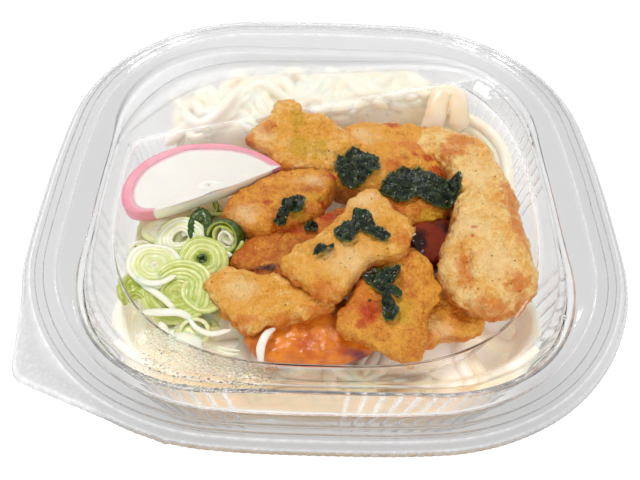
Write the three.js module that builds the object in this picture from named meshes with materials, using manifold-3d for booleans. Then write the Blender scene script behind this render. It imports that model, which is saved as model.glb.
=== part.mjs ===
// A takeaway bowl of chilled udon: a clear bowl with a wide rim holds the noodles, and a clear tray that
// hangs in the bowl's mouth keeps the toppings apart. Millimetres, +Z up, the bowl's foot on z = 0.
import * as THREE from 'three';
import { mergeVertices } from 'three/addons/utils/BufferGeometryUtils.js';
import Module from 'manifold-3d';

const wasm = await Module();
wasm.setup();

// ---- Driving dimensions ----
const HALF_WIDTH = 90; // from the middle to the bowl's lip, across its flat sides
const BOWL_HEIGHT = 46;
const LIP_HEIGHT = 43; // the lower edge of the rim's skirt
const SIDE_RADIUS = 5.6 * HALF_WIDTH; // the bowed sides
const CORNER_RADIUS = 0.71 * HALF_WIDTH;
const SHEET = 0.6; // thickness of the formed plastic
const GAP = 0.3; // between pieces that touch
const TRAY_TOP = 43.4;
const TRAY_FLOOR = 26.3;
const RECESS = { halfWidth: 66.5, halfDepth: 65, squareness: 2.7 };
const BACK_EDGE = { distance: 39.3, turn: THREE.MathUtils.degToRad(17.7) }; // the tray's straight edge
const NOODLE_RADIUS = 2.4;

const QUARTER_TURN = Math.PI / 2;
const FULL_TURN = 2 * Math.PI;
const POLAR_STEPS = 48;

// ---- Building blocks ----

// Closes a stack of rings into one body: each ring has the same number of points, and the two poles
// close its ends. The faces are turned outwards at the end.
function loft(rings, firstPole, lastPole) {
  const sides = rings[0].length;
  const points = [firstPole, ...rings.flat(), lastPole];
  const last = points.length - 1;
  const faces = [];
  for (let side = 0; side < sides; side++) {
    const next = (side + 1) % sides;
    faces.push([0, 1 + side, 1 + next]);
    for (let row = 0; row + 1 < rings.length; row++) {
      const upper = 1 + row * sides;
      const lower = upper + sides;
      faces.push([upper + side, lower + side, lower + next]);
      faces.push([upper + side, lower + next, upper + next]);
    }
    const end = 1 + (rings.length - 1) * sides;
    faces.push([end + next, end + side, last]);
  }
  return outward(points, faces);
}

function outward(points, faces) {
  const volume = faces.reduce((sum, [a, b, c]) => {
    const normal = new THREE.Vector3().crossVectors(points[b], points[c]);
    return sum + points[a].dot(normal);
  }, 0);
  const turned = volume > 0 ? faces : faces.map(([a, b, c]) => [a, c, b]);
  const geometry = new THREE.BufferGeometry().setFromPoints(points);
  geometry.setIndex(turned.flat());
  return geometry;
}

function toSolid(geometry) {
  const bare = geometry.clone();
  bare.deleteAttribute('normal');
  bare.deleteAttribute('uv');
  const merged = mergeVertices(bare, 1e-4);
  return new wasm.Manifold(new wasm.Mesh({
    numProp: 3,
    vertProperties: new Float32Array(merged.attributes.position.array),
    triVerts: new Uint32Array(merged.index.array),
  }));
}

// The largest body of a solid, without loose scraps and without hollows sealed inside it.
function toGeometry(solid) {
  const bodies = solid.decompose().sort((a, b) => b.volume() - a.volume());
  const mesh = bodies[0].getMesh();
  const geometry = new THREE.BufferGeometry();
  geometry.setAttribute('position', new THREE.BufferAttribute(new Float32Array(mesh.vertProperties), 3));
  geometry.setIndex(new THREE.BufferAttribute(new Uint32Array(mesh.triVerts), 1));
  return geometry;
}

function fuse(geometries) {
  return geometries.map(toSolid).reduce((whole, piece) => whole.add(piece));
}

// Distance from the middle, along a direction, to the far side of a circle.
function reachCircle(angle, x, y, radius) {
  const along = x * Math.cos(angle) + y * Math.sin(angle);
  return along + Math.sqrt(along ** 2 - x ** 2 - y ** 2 + radius ** 2);
}

// Distance from the middle, along a direction, to a straight line. The line lies `distance` away
// from the middle, and `facing` is the direction of its nearest point.
function reachLine(angle, distance, facing) {
  const cosine = Math.cos(angle - facing);
  return cosine > 0.05 ? distance / cosine : Infinity;
}

// The smaller of two distances, with the corner between them rounded.
function roundedMin(a, b, softness) {
  return -softness * Math.log(Math.exp(-a / softness) + Math.exp(-b / softness));
}

function polarPoint(angle, radius, z) {
  return new THREE.Vector3(radius * Math.cos(angle), radius * Math.sin(angle), z);
}

// A smooth closed curve through a few [x, y] points.
function closedCurve(points, count) {
  const knots = points.map(([x, y]) => new THREE.Vector3(x, y, 0));
  return new THREE.CatmullRomCurve3(knots, true).getSpacedPoints(count).slice(0, count);
}

function material(color, roughness, opacity = 1) {
  return new THREE.MeshStandardMaterial({ color, roughness, metalness: 0, opacity, transparent: opacity < 1 });
}

const CLEAR_PLASTIC = material(0xe4e6e8, 0.1, 0.3);
const NOODLE = material(0xf3ead2, 0.45);
const BATTER = material(0xe0a45c, 0.7);
const SWEET_POTATO = material(0xdd7e28, 0.55);
const EGGPLANT = material(0x6a2d15, 0.25);
const FISH_CAKE_WHITE = material(0xf8f3eb, 0.4);
const FISH_CAKE_PINK = material(0xf49fb2, 0.4);
const SPRING_ONION = material(0xd6e0a0, 0.45);
const SEAWEED = material(0x2f3a24, 0.5);
const WHITE_SHRED = material(0xf6ece6, 0.4);

// ---- The bowl ----

const SIDE_CENTRE = HALF_WIDTH - SIDE_RADIUS;
const REACH_BETWEEN_CENTRES = SIDE_RADIUS - CORNER_RADIUS;
const CORNER_CENTRE = (SIDE_CENTRE + Math.sqrt(2 * REACH_BETWEEN_CENTRES ** 2 - SIDE_CENTRE ** 2)) / 2;
const SIDE_SPREAD = Math.atan2(CORNER_CENTRE, CORNER_CENTRE - SIDE_CENTRE);

const CORNER_PUSH = 3.5; // how much less the mouth and the wall are drawn in at the corners

// The bowl's outline is a square with bowed sides and round corners, the same in every quarter. It is
// drawn in evenly at the rim, and less at the corners from the mouth inwards.
function bowlRadius(angle, inset) {
  const inCorner = Math.sin(2 * angle) ** 4;
  const drawnIn = inset - CORNER_PUSH * inCorner * THREE.MathUtils.smoothstep(inset, 10, 15.5);
  const inQuarter = THREE.MathUtils.euclideanModulo(angle, QUARTER_TURN);
  const fold = Math.min(inQuarter, QUARTER_TURN - inQuarter);
  const side = reachCircle(fold, SIDE_CENTRE, 0, SIDE_RADIUS - drawnIn);
  const seenFromSideCentre = Math.atan2(side * Math.sin(fold), side * Math.cos(fold) - SIDE_CENTRE);
  if (seenFromSideCentre < SIDE_SPREAD) return side;
  return reachCircle(fold, CORNER_CENTRE, CORNER_CENTRE, CORNER_RADIUS - drawnIn);
}

// The lift tab at the front left corner, where the rim runs out to two straight edges.
const TAB = {
  start: THREE.MathUtils.degToRad(204),
  end: THREE.MathUtils.degToRad(246),
  leftEdge: { distance: 92.0, facing: THREE.MathUtils.degToRad(188) },
  frontEdge: { distance: 96.6, facing: THREE.MathUtils.degToRad(248) },
  softness: 1.6,
};

function tabReach(angle) {
  if (angle <= TAB.start || angle >= TAB.end) return 0;
  const left = reachLine(angle, TAB.leftEdge.distance, TAB.leftEdge.facing);
  const front = reachLine(angle, TAB.frontEdge.distance, TAB.frontEdge.facing);
  return Math.max(0, roundedMin(left, front, TAB.softness) - bowlRadius(angle, 0));
}

function bowlAngles() {
  const even = Array.from({ length: POLAR_STEPS }, (_, step) => (step * FULL_TURN) / POLAR_STEPS);
  const half = FULL_TURN / POLAR_STEPS / 2;
  const extra = even.map((angle) => angle + half).filter((angle) => angle > TAB.start && angle < TAB.end);
  return [...even, ...extra].sort((a, b) => a - b);
}

// Section of the bowl's sheet, as [inset from the lip, height, share of the tab]: first the upper
// face from the floor out to the lip, then the lower face back to the middle.
const BOWL_SECTION = [
  [34.6, 1.6, 0],
  [33.2, SHEET, 0],
  [28.4, SHEET, 0],
  [26.8, 3.4, 0],
  [22.0, 26.0, 0],
  [18.7, 41.6, 0],
  [18.1, 42.5, 0],
  [16.3, 42.5, 0],
  [10.6, 44.6, 0],
  [9.2, BOWL_HEIGHT, 0],
  [2.8, BOWL_HEIGHT, 0],
  [1.1, 45.2, 1],
  [0.0, LIP_HEIGHT, 1],
  [0.6, LIP_HEIGHT, 1],
  [1.7, 44.6, 1],
  [3.0, 45.4, 0],
  [8.9, 45.4, 0],
  [10.3, 44.0, 0],
  [16.2, 41.9, 0],
  [17.6, 41.9, 0],
  [18.1, 41.4, 0],
  [21.4, 26.0, 0],
  [26.2, 3.2, 0],
  [28.0, 0, 0],
  [32.8, 0, 0],
  [34.2, 1.0, 0],
];
const FLOOR_TOP = 1.6;
const FLOOR_UNDERSIDE = 1.0;

function bowl() {
  const angles = bowlAngles();
  const rings = BOWL_SECTION.map(([inset, z, tabShare]) =>
    angles.map((angle) => polarPoint(angle, bowlRadius(angle, inset) + tabShare * tabReach(angle), z)),
  );
  return loft(rings, new THREE.Vector3(0, 0, FLOOR_TOP), new THREE.Vector3(0, 0, FLOOR_UNDERSIDE));
}

// How far in from the lip the bowl's inner wall is at a height.
function wallInset(z) {
  return THREE.MathUtils.mapLinear(z, 3.4, 41.6, 26.8, 18.7);
}

// ---- The tray ----

// The recess for the toppings: rounded at the front and sides, straight at the back.
function recessRadius(angle, inset) {
  const width = RECESS.halfWidth - inset;
  const depth = RECESS.halfDepth - inset;
  const across = Math.abs(Math.cos(angle) / width) ** RECESS.squareness;
  const along = Math.abs(Math.sin(angle) / depth) ** RECESS.squareness;
  const rounded = (across + along) ** (-1 / RECESS.squareness);
  const back = reachLine(angle, BACK_EDGE.distance - inset, QUARTER_TURN + BACK_EDGE.turn);
  return roundedMin(rounded, back, 2);
}

// Section of the tray's sheet: [inset from the recess's edge, height] inside the recess, upper face
// first, with the rim that rests on the bowl's ledge between the two faces.
const RECESS_UPPER_FACE = [
  [8.0, TRAY_FLOOR],
  [4.6, TRAY_FLOOR + 1.4],
  [1.2, 40.5],
  [0.6, 43.6],
  [-0.3, 44.1],
];
const RECESS_LOWER_FACE = [
  [0.1, 42.8],
  [0.6, 40.4],
  [4.0, TRAY_FLOOR + 1.2],
  [7.6, TRAY_FLOOR - SHEET],
];
const TRAY_EDGE_INSET = 16.7;
const TRAY_INNER_RIM_INSET = 17.3;

function tray() {
  const angles = Array.from({ length: POLAR_STEPS }, (_, step) => ((step + 0.5) * FULL_TURN) / POLAR_STEPS);
  const recessRing = ([inset, z]) => angles.map((angle) => polarPoint(angle, recessRadius(angle, inset), z));
  const rimRing = (inset, z) => angles.map((angle) => polarPoint(angle, bowlRadius(angle, inset), z));
  const rings = [
    ...RECESS_UPPER_FACE.map(recessRing),
    rimRing(TRAY_INNER_RIM_INSET, TRAY_TOP),
    rimRing(TRAY_EDGE_INSET, TRAY_TOP - 0.2),
    rimRing(TRAY_EDGE_INSET, TRAY_TOP - SHEET),
    ...RECESS_LOWER_FACE.map(recessRing),
  ];
  const top = new THREE.Vector3(0, 0, TRAY_FLOOR);
  const underside = new THREE.Vector3(0, 0, TRAY_FLOOR - SHEET);
  return loft(rings, top, underside);
}

// The space inside one face of the recess, drawn in on all sides by a clearance and straight above.
function recessSpace(face, clearance) {
  const angles = Array.from({ length: 40 }, (_, step) => (step * FULL_TURN) / 40);
  const stops = [...face].sort((a, b) => a[1] - b[1]);
  const bottom = stops[0][1] + clearance;
  stops.push([stops.at(-1)[0], BOWL_HEIGHT]);
  const rings = stops.map(([inset, z]) =>
    angles.map((angle) => polarPoint(angle, recessRadius(angle, inset) - clearance, Math.max(z, bottom))),
  );
  return loft(rings, new THREE.Vector3(0, 0, bottom), new THREE.Vector3(0, 0, BOWL_HEIGHT));
}

// Everywhere that toppings may be: in the recess, and over the tray.
function toppingSpace() {
  const above = new THREE.BoxGeometry(2 * HALF_WIDTH, 2 * HALF_WIDTH, HALF_WIDTH);
  above.translate(0, 0, RECESS_UPPER_FACE.at(-1)[1] + GAP + HALF_WIDTH / 2);
  return fuse([recessSpace(RECESS_UPPER_FACE, GAP), above]);
}

// ---- Lumps and tubes, the forms of the food ----

const LUMP_SIDES = 18;
const LUMP_ROWS = 6;
const EDGE_FULLNESS = 0.42; // how square a lump's edge is: 1 is round, 0 is upright
const CROWN = 0.75;

// A gentle unevenness over space, between about -1 and 1.
function unevenness({ x, y, z }) {
  const slow = Math.sin(0.31 * x + 1.3) * Math.cos(0.27 * y - 0.4) + 0.3 * Math.sin(0.4 * z);
  const quick = Math.sin(0.83 * x - 0.5 * y + 0.7) * Math.cos(0.71 * y + 0.3 * x);
  return 0.6 * slow + 0.4 * quick;
}

// Moves a geometry made round the origin to its place: tilted so that its back edge rises by the
// first angle and its right edge falls by the second, in degrees.
function place(geometry, at, [backUp, rightDown] = [0, 0]) {
  const turn = new THREE.Euler(THREE.MathUtils.degToRad(backUp), THREE.MathUtils.degToRad(rightDown), 0, 'XYZ');
  return geometry.applyMatrix4(new THREE.Matrix4().makeRotationFromEuler(turn)).translate(...at);
}

// A lump: a closed curve seen from above, thick in the middle, with a rounded edge and an uneven
// skin. `up` and `down` are its heights over and under that curve. `grow` makes it larger all round.
function lump({ at, tilt, outline, up, down, relief = 0.7 }, grow = 0) {
  const edge = closedCurve(outline, LUMP_SIDES);
  const rings = [];
  for (let row = 1; row < LUMP_ROWS; row++) {
    const fall = (Math.PI * row) / LUMP_ROWS;
    const share = Math.sin(fall) ** EDGE_FULLNESS;
    const lift = Math.sign(Math.cos(fall)) * Math.abs(Math.cos(fall)) ** CROWN;
    const height = lift > 0 ? up + grow : down + grow;
    rings.push(edge.map((point) => {
      const skin = relief * unevenness({ x: point.x + at[0], y: point.y + at[1], z: fall * 4 });
      const reach = share * (1 + (grow + skin) / point.length());
      return new THREE.Vector3(point.x * reach, point.y * reach, lift * height + skin * Math.abs(lift));
    }));
  }
  const top = new THREE.Vector3(0, 0, up + grow);
  const underside = new THREE.Vector3(0, 0, -down - grow);
  return place(loft(rings, top, underside), at, tilt);
}

// A tube along a smooth path, with a width and a height that may change along it, and domed ends.
function tube(path, { width, up, down = up, sides = 6, step = 6 }) {
  const curve = new THREE.CatmullRomCurve3(path.map((point) => new THREE.Vector3(...point)));
  const steps = Math.max(3, Math.round(curve.getLength() / step));
  const rings = [];
  for (let index = 0; index <= steps; index++) {
    const share = index / steps;
    const taper = index === 0 || index === steps ? 0.55 : 1;
    const along = curve.getTangentAt(share);
    const sideways = new THREE.Vector3(-along.y, along.x, 0).normalize();
    const upwards = new THREE.Vector3().crossVectors(along, sideways);
    const centre = curve.getPointAt(share);
    const ring = [];
    for (let side = 0; side < sides; side++) {
      const angle = ((side + 0.5) * FULL_TURN) / sides;
      const height = Math.sin(angle) > 0 ? up(share) : down(share);
      const point = centre.clone();
      point.addScaledVector(sideways, taper * width(share) * Math.cos(angle));
      point.addScaledVector(upwards, taper * height * Math.sin(angle));
      ring.push(point);
    }
    rings.push(ring);
  }
  const cap = (share, sign) => {
    const reach = 0.45 * Math.min(width(share), up(share));
    return curve.getPointAt(share).addScaledVector(curve.getTangentAt(share), sign * reach);
  };
  return loft(rings, cap(0, -1), cap(1, 1));
}

// A value that follows evenly spaced stops along a tube.
function along(stops) {
  return (share) => {
    const place = share * (stops.length - 1);
    const index = Math.min(Math.floor(place), stops.length - 2);
    return THREE.MathUtils.lerp(stops[index], stops[index + 1], place - index);
  };
}

// ---- Fried pieces, from the top of the heap down: each is cut clear of the ones before it ----

const TOP_PIECE = {
  at: [7, -27, 45.5],
  tilt: [9, -5],
  up: 5,
  down: 4.5,
  outline: [[-21, -5], [-11, 4], [-3, 13], [6, 22], [13, 15], [19, 5], [14, -3], [5, -6], [-2, -15], [-9, -16], [-18, -9]],
};
const BACK_PIECE = {
  at: [-9, 22, 43.5],
  tilt: [24, 0],
  up: 5.5,
  down: 6,
  outline: [[-18, 0], [-12, 7], [-9, 13], [-4, 14], [1, 9], [8, 9], [15, 3], [21, -1], [16, -8], [8, -13], [-4, -13], [-12, -6]],
};
const FRONT_RIGHT_PIECE = {
  at: [20, -43, 38],
  tilt: [13, 3],
  up: 5,
  down: 5,
  outline: [[-8, 11], [-2, 16], [6, 20], [12, 13], [14, 4], [9, -3], [7, -14], [1, -15], [-8, -10], [-17, -6], [-14, 3]],
};
const LEFT_PIECE = {
  at: [-16, -5, 39.5],
  tilt: [7, -4],
  up: 5,
  down: 6,
  outline: [[-17, -4], [-15, 4], [-8, 9], [4, 13], [18, 12], [17, 2], [10, -7], [0, -10], [-11, -10]],
};
const FRONT_LEFT_PIECE = {
  at: [-17, -40, 36],
  tilt: [8, -3],
  up: 5,
  down: 4.5,
  outline: [[-20, 5], [-15, 11], [-5, 9], [6, 7], [15, 1], [21, -2], [11, -6], [0, -8], [-7, -10], [-13, -5]],
};
const MIDDLE_PIECE = {
  at: [31, -1, 38.5],
  tilt: [6, 0],
  up: 5,
  down: 10.5,
  outline: [[-13, 4], [-5, 9], [7, 9], [12, 2], [8, -6], [-3, -10], [-10, -5]],
};
const LONG_PIECE = {
  path: [[36, 25, 41], [44, 21, 42], [49, 13, 43], [51, 3, 43], [50, -7, 43], [49, -17, 43], [48, -27, 43], [47, -36, 42], [44, -45, 40]],
  width: [5, 7.5, 8, 7.5, 8.5, 11, 13, 13, 9],
  up: [4, 6, 7, 7, 7, 8, 8.5, 8, 6],
  down: [8, 12, 14, 14, 14, 14, 14, 13, 9],
};
const BEHIND_PIECE = {
  at: [21, 22, 37],
  tilt: [2, 0],
  up: 8,
  down: 9.5,
  outline: [[-28, -4], [-15, 9], [-7, 13], [6, 12], [18, 9], [22, 0], [21, -11], [9, -15], [-4, -20], [-14, -20], [-22, -13]],
};
const UNDER_LEFT_PIECE = {
  at: [-10, -17, 35],
  tilt: [4, -5],
  up: 5,
  down: 7.5,
  outline: [[-20, -8], [-17, 0], [-8, 5], [6, 9], [18, 13], [24, 6], [23, -6], [18, -17], [4, -18], [-12, -13]],
};
const EGGPLANT_PIECE = {
  at: [33, -16, 35],
  tilt: [14, 0],
  up: 5,
  down: 7.5,
  relief: 0.3,
  outline: [[-9, 2], [-3, 8], [5, 9], [9, 2], [5, -7], [-4, -9]],
};
const LOW_RIGHT_PIECE = {
  at: [35, -43, 31],
  tilt: [6, 0],
  up: 4.5,
  down: 3.6,
  outline: [[-12, 4], [-5, 11], [2, 16], [10, 16], [13, 6], [12, -1], [5, -5], [-5, -8], [-11, -5]],
};
const SWEET_POTATO_SLICE = {
  at: [-5, -50, 31],
  tilt: [6, 0],
  up: 3.2,
  down: 3.2,
  relief: 0.3,
  outline: [[-19, 1], [-13, 7], [0, 13], [12, 14], [21, 3], [15, -5], [4, -7], [-9, -7], [-16, -4]],
};

function longPiece(grow = 0) {
  const grown = (stops) => along(stops.map((stop) => stop + grow));
  return tube(LONG_PIECE.path, {
    width: grown(LONG_PIECE.width),
    up: grown(LONG_PIECE.up),
    down: grown(LONG_PIECE.down),
    sides: 12,
    step: 8,
  });
}

// ---- The fish cake slice: a half round with a pink skin round its arched side ----

const FISH_CAKE = {
  at: [-42, 3, 42.5],
  tilt: [17, 2],
  halfThickness: 3.2,
  skin: 2.2,
  skinAtLeftEnd: 3.6,
  outline: [[-16, -13.5], [-21.5, -12.5], [-23.5, -7], [-21.5, 0.5], [-15, 7], [-5, 11.3], [7, 12.5], [18, 10.5], [26, 6], [24.5, 4], [9, -4.3], [-5, -10.2]],
  foldTowards: [4, -3], // the skin's inner side is the outline drawn in towards this point
};

// The whole slice, grown all round.
function fishCakeSlice(grow) {
  return fishCakeSlab(() => grow, FISH_CAKE.halfThickness + grow);
}

// What lies inside the pink skin, with a clearance. It reaches past the slice on its bare sides. The
// skin covers the arch and hooks round the left end.
function fishCakeInside(clearance) {
  const past = 1;
  const reach = (spoke) => {
    const overTop = THREE.MathUtils.smoothstep(spoke.y - 0.42 * spoke.x, -2.5, 1);
    const onArch = Math.max(overTop, THREE.MathUtils.smoothstep(-spoke.x, 16.5, 20));
    const atLeftEnd = THREE.MathUtils.smoothstep(-spoke.x, 8, 22);
    const skin = THREE.MathUtils.lerp(FISH_CAKE.skin, FISH_CAKE.skinAtLeftEnd, atLeftEnd);
    return THREE.MathUtils.lerp(past, -skin - clearance, onArch);
  };
  return fishCakeSlab(reach, FISH_CAKE.halfThickness + past);
}

function fishCakeSlab(reach, half) {
  const middle = new THREE.Vector3(...FISH_CAKE.foldTowards, 0);
  const curve = closedCurve(FISH_CAKE.outline, 30).map((point) => {
    const spoke = point.clone().sub(middle);
    return point.addScaledVector(spoke.clone().normalize(), reach(spoke));
  });
  const ring = (z) => curve.map((point) => new THREE.Vector3(point.x, point.y, z));
  const pole = (z) => new THREE.Vector3(middle.x, middle.y, z);
  return place(loft([ring(half), ring(-half)], pole(half), pole(-half)), FISH_CAKE.at, FISH_CAKE.tilt);
}

// ---- Spring onion: a low heap with the slices, curls and strips that show fused on ----

const ONION_BED = {
  at: [-44, -21, 30],
  tilt: [5, 0],
  up: 3,
  down: 2.6,
  relief: 1,
  outline: [[-18, 3], [-17, -9], [-10, -22], [0, -28], [9, -26], [15, -14], [14, 2], [18, 14], [14, 28], [0, 28], [-14, 24], [-19, 14]],
};
const ONION_SLICES = [
  { at: [-52.5, -27.5, 34], tilt: [8, 4], radius: 7.4, bore: 0, height: 2.2 },
  { at: [-37, -24, 35], tilt: [10, -6], radius: 6, bore: 3, height: 2.4 },
  { at: [-47, -35, 33.2], tilt: [14, -8], radius: 6.6, bore: 0, height: 2 },
  { at: [-38.5, -34, 33.6], tilt: [-8, 12], radius: 5.6, bore: 2.8, height: 2 },
  { at: [-57.5, -36, 32.4], tilt: [10, -10], radius: 4.6, bore: 2.4, height: 1.8 },
  { at: [-58, -15, 32.6], tilt: [6, 10], radius: 3.6, bore: 2.2, height: 1.6 },
  { at: [-37, -13.5, 35.4], tilt: [60, 20], radius: 4, bore: 2.2, height: 3.4 },
  { at: [-31.5, -17.5, 35.4], tilt: [52, -24], radius: 4.4, bore: 2.6, height: 3.4 },
];
const ONION_STRIPS = [
  [[-59, -21, 34], [-54, -18.5, 34.6], [-50, -19, 34]],
  [[-56, -32, 34], [-52, -36, 34.6], [-47, -40, 33.4]],
  [[-57, -39, 33], [-50, -41, 34.2], [-44, -42.5, 33.2]],
  [[-48, -43.5, 32.4], [-41, -43, 34], [-34, -46, 33]],
  [[-45, -46, 31.6], [-38, -48, 33.4], [-30, -45, 33]],
  [[-42, -5, 34.6], [-36, -3, 35.6], [-30, -6, 35]],
  [[-47, -12, 34], [-43, -16, 35], [-38, -18, 34]],
];
const ONION_CHUNK = {
  at: [-40, -49, 31.5],
  tilt: [10, -8],
  up: 2.8,
  down: 2.8,
  relief: 0.2,
  outline: [[-5, 1], [-1, 4], [5, 3], [5, -2], [0, -4]],
};

function onionSlice({ at, tilt, radius, bore, height }) {
  const half = height / 2;
  const profile = [[bore, -half], [radius - 0.4, -half], [radius, 0], [radius - 0.4, half], [bore, half]];
  const section = profile.map(([x, y]) => new THREE.Vector2(x, y));
  if (bore > 0) section.push(section[0].clone());
  const ring = new THREE.LatheGeometry(section, 10).rotateX(QUARTER_TURN);
  return place(ring, at, tilt);
}

function springOnion() {
  const strip = { width: () => 1.3, up: () => 0.8, sides: 4, step: 4 };
  return fuse([
    lump(ONION_BED),
    lump(ONION_CHUNK),
    ...ONION_SLICES.map(onionSlice),
    ...ONION_STRIPS.map((path) => tube(path, strip)),
  ]);
}

// ---- Noodles: a packed body under the tray, higher behind its straight edge, with strands on it ----

const NOODLE_TOP = TRAY_FLOOR - SHEET - GAP - 0.4;
const NOODLE_BACK_TOP = 34;
const LOOSE_SIDE = { facing: THREE.MathUtils.degToRad(165), spread: 0.9, pull: 14 };

// The noodles leave room at the bowl's left side.
function noodleRadius(angle, z, clearance) {
  const away = Math.cos(angle - LOOSE_SIDE.facing);
  const pull = LOOSE_SIDE.pull * THREE.MathUtils.smoothstep(away, 1 - LOOSE_SIDE.spread, 1);
  return bowlRadius(angle, wallInset(z) + clearance) - pull;
}

function noodleBody(heights, clearance) {
  const angles = Array.from({ length: 32 }, (_, step) => (step * FULL_TURN) / 32);
  const bottom = heights[0];
  const top = heights[heights.length - 1];
  const rings = heights.map((z) => angles.map((angle) => {
    const rounding = z === bottom || z === top ? 2.5 : 0;
    return polarPoint(angle, noodleRadius(angle, z, clearance + rounding), z);
  }));
  return loft(rings, new THREE.Vector3(0, 0, bottom), new THREE.Vector3(0, 0, top));
}

// A block that covers everything behind the tray's straight edge.
function behindBackEdge(clearance) {
  const block = new THREE.BoxGeometry(260, 100, 100);
  block.translate(0, 50 + BACK_EDGE.distance + clearance, 0);
  return block.rotateZ(BACK_EDGE.turn);
}

const BACK_STRANDS = [
  [[-50, 41, 33], [-36, 50, 35.5], [-20, 52, 36], [-4, 60, 34]],
  [[-46, 30, 33], [-34, 40, 36], [-16, 44, 36.5], [2, 50, 36], [18, 50, 34]],
  [[-30, 55, 33], [-12, 57, 36.5], [6, 60, 36], [22, 58, 34]],
  [[-6, 46, 34], [8, 54, 37], [22, 54, 37], [36, 58, 33]],
  [[-54, 32, 31], [-44, 42, 36], [-30, 46, 36.5], [-22, 58, 33]],
];
const FOLDED_STRAND = [[38, 46, 31], [42, 50, 35], [42, 57, 37], [46, 60.5, 37.4], [50, 57, 37], [50, 50, 35], [54, 44, 30]];
const WALL_STRANDS = [
  { from: 200, to: 256, low: 8, high: 13 },
  { from: 232, to: 300, low: 19, high: 14 },
  { from: 284, to: 338, low: 7, high: 12 },
  { from: 318, to: 386, low: 20, high: 15 },
  { from: 20, to: 66, low: 12, high: 22 },
  { from: 68, to: 122, low: 27, high: 31 },
];

function wallStrand({ from, to, low, high }) {
  const stops = [0, 0.25, 0.5, 0.75, 1];
  return stops.map((share) => {
    const angle = THREE.MathUtils.degToRad(THREE.MathUtils.lerp(from, to, share));
    const z = THREE.MathUtils.lerp(low, high, share) + 2.5 * Math.sin(5 * share * Math.PI);
    const endTurn = share === 0 || share === 1 ? 3 : 0;
    return polarPoint(angle, noodleRadius(angle, z, NOODLE_RADIUS + 1.0 + endTurn), z).toArray();
  });
}

function noodles() {
  const radius = () => NOODLE_RADIUS;
  const strand = (path) => tube(path, { width: radius, up: radius });
  const low = toSolid(noodleBody([FLOOR_TOP + GAP, 4.4, 14, NOODLE_TOP - 2.5, NOODLE_TOP], 2.6));
  const high = toSolid(noodleBody([20, 24, NOODLE_BACK_TOP - 2.5, NOODLE_BACK_TOP], 2.6));
  const body = low.add(high.intersect(toSolid(behindBackEdge(1.5))));
  const strands = fuse([...BACK_STRANDS, FOLDED_STRAND, ...WALL_STRANDS.map(wallStrand)].map(strand));
  return body.add(strands).subtract(toSolid(recessSpace(RECESS_LOWER_FACE, -GAP)));
}

// ---- Seaweed: thin wavy leaves that lie on the fried pieces ----

const LEAF_THICKNESS = 0.7;
const SEAWEED_LEAVES = {
  seaweed_back: [[3, 2], [4, 7], [8, 11], [14, 11], [17, 8], [16, 3], [11, -1], [6, -3]],
  seaweed_right: [[17, -1], [19, 5], [26, 6], [33, 6], [39, 3], [42, -1], [39, -9], [33, -8], [28, -5], [22, -5]],
  seaweed_top: [[2, -28], [4, -22], [11, -16], [16, -20], [18, -26], [13, -24], [9, -26], [5, -29]],
  seaweed_top_small: [[-4, -32], [-1, -28], [2, -29], [0, -32]],
  seaweed_left: [[-17, -16], [-15, -9], [-12, -6], [-7, -7], [-9, -12], [-13, -15]],
  seaweed_left_small: [[-7, -16], [-5, -13], [-3, -14], [-4, -17]],
  seaweed_front: [[10, -37], [15, -31], [20, -31], [20, -37], [21, -42], [20, -50], [16, -50], [16, -42]],
};

// The highest point of what lies at or near a place.
function surfaceHeight(hosts, x, y) {
  const near = 1.6;
  const heights = [[0, 0], [near, 0], [-near, 0], [0, near], [0, -near]].flatMap(([aside, ahead]) => {
    const from = new THREE.Vector3(x + aside, y + ahead, 100);
    const hits = new THREE.Raycaster(from, new THREE.Vector3(0, 0, -1)).intersectObjects(hosts);
    return hits.length > 0 ? [hits[0].point.z] : [];
  });
  return Math.max(...heights);
}

function leaf(outline, hosts) {
  const edge = closedCurve(outline, 14);
  const middle = edge.reduce((sum, point) => sum.add(point), new THREE.Vector3()).divideScalar(edge.length);
  const middleHeight = surfaceHeight(hosts, middle.x, middle.y);
  const raise = (x, y) => {
    const draped = THREE.MathUtils.clamp(surfaceHeight(hosts, x, y), middleHeight - 4, middleHeight + 5);
    return draped + 2 * GAP + 0.25 * (1 + Math.sin(1.7 * x) * Math.cos(1.3 * y));
  };
  const ring = (share, lift) => edge.map((point) => {
    const { x, y } = middle.clone().lerp(point, share);
    return new THREE.Vector3(x, y, raise(x, y) + lift);
  });
  const pole = (lift) => new THREE.Vector3(middle.x, middle.y, raise(middle.x, middle.y) + lift);
  const rings = [ring(0.5, LEAF_THICKNESS), ring(1, LEAF_THICKNESS), ring(1, 0), ring(0.5, 0)];
  return loft(rings, pole(LEAF_THICKNESS), pole(0));
}

// ---- The white shred that stands at the tray's front edge ----

const SHRED_PATH = [[-14.5, -48.5, 36], [-17, -51.5, 37.2], [-18.4, -55.5, 36.4], [-18.2, -59, 33.6]];

function shred(grow = 0) {
  const width = along([0.5 + grow, 1.2 + grow, 1.3 + grow, 1 + grow]);
  return tube(SHRED_PATH, { width, up: () => 0.7 + grow, sides: 6, step: 2.4 });
}

// ---- Assembly ----

const udon = new THREE.Group();
const addNode = (name, geometry, look) => {
  const mesh = new THREE.Mesh(geometry, look);
  mesh.name = name;
  udon.add(mesh);
  return mesh;
};

addNode('bowl', bowl(), CLEAR_PLASTIC);
addNode('tray', tray(), CLEAR_PLASTIC);
addNode('noodles', toGeometry(noodles()), NOODLE);

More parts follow.
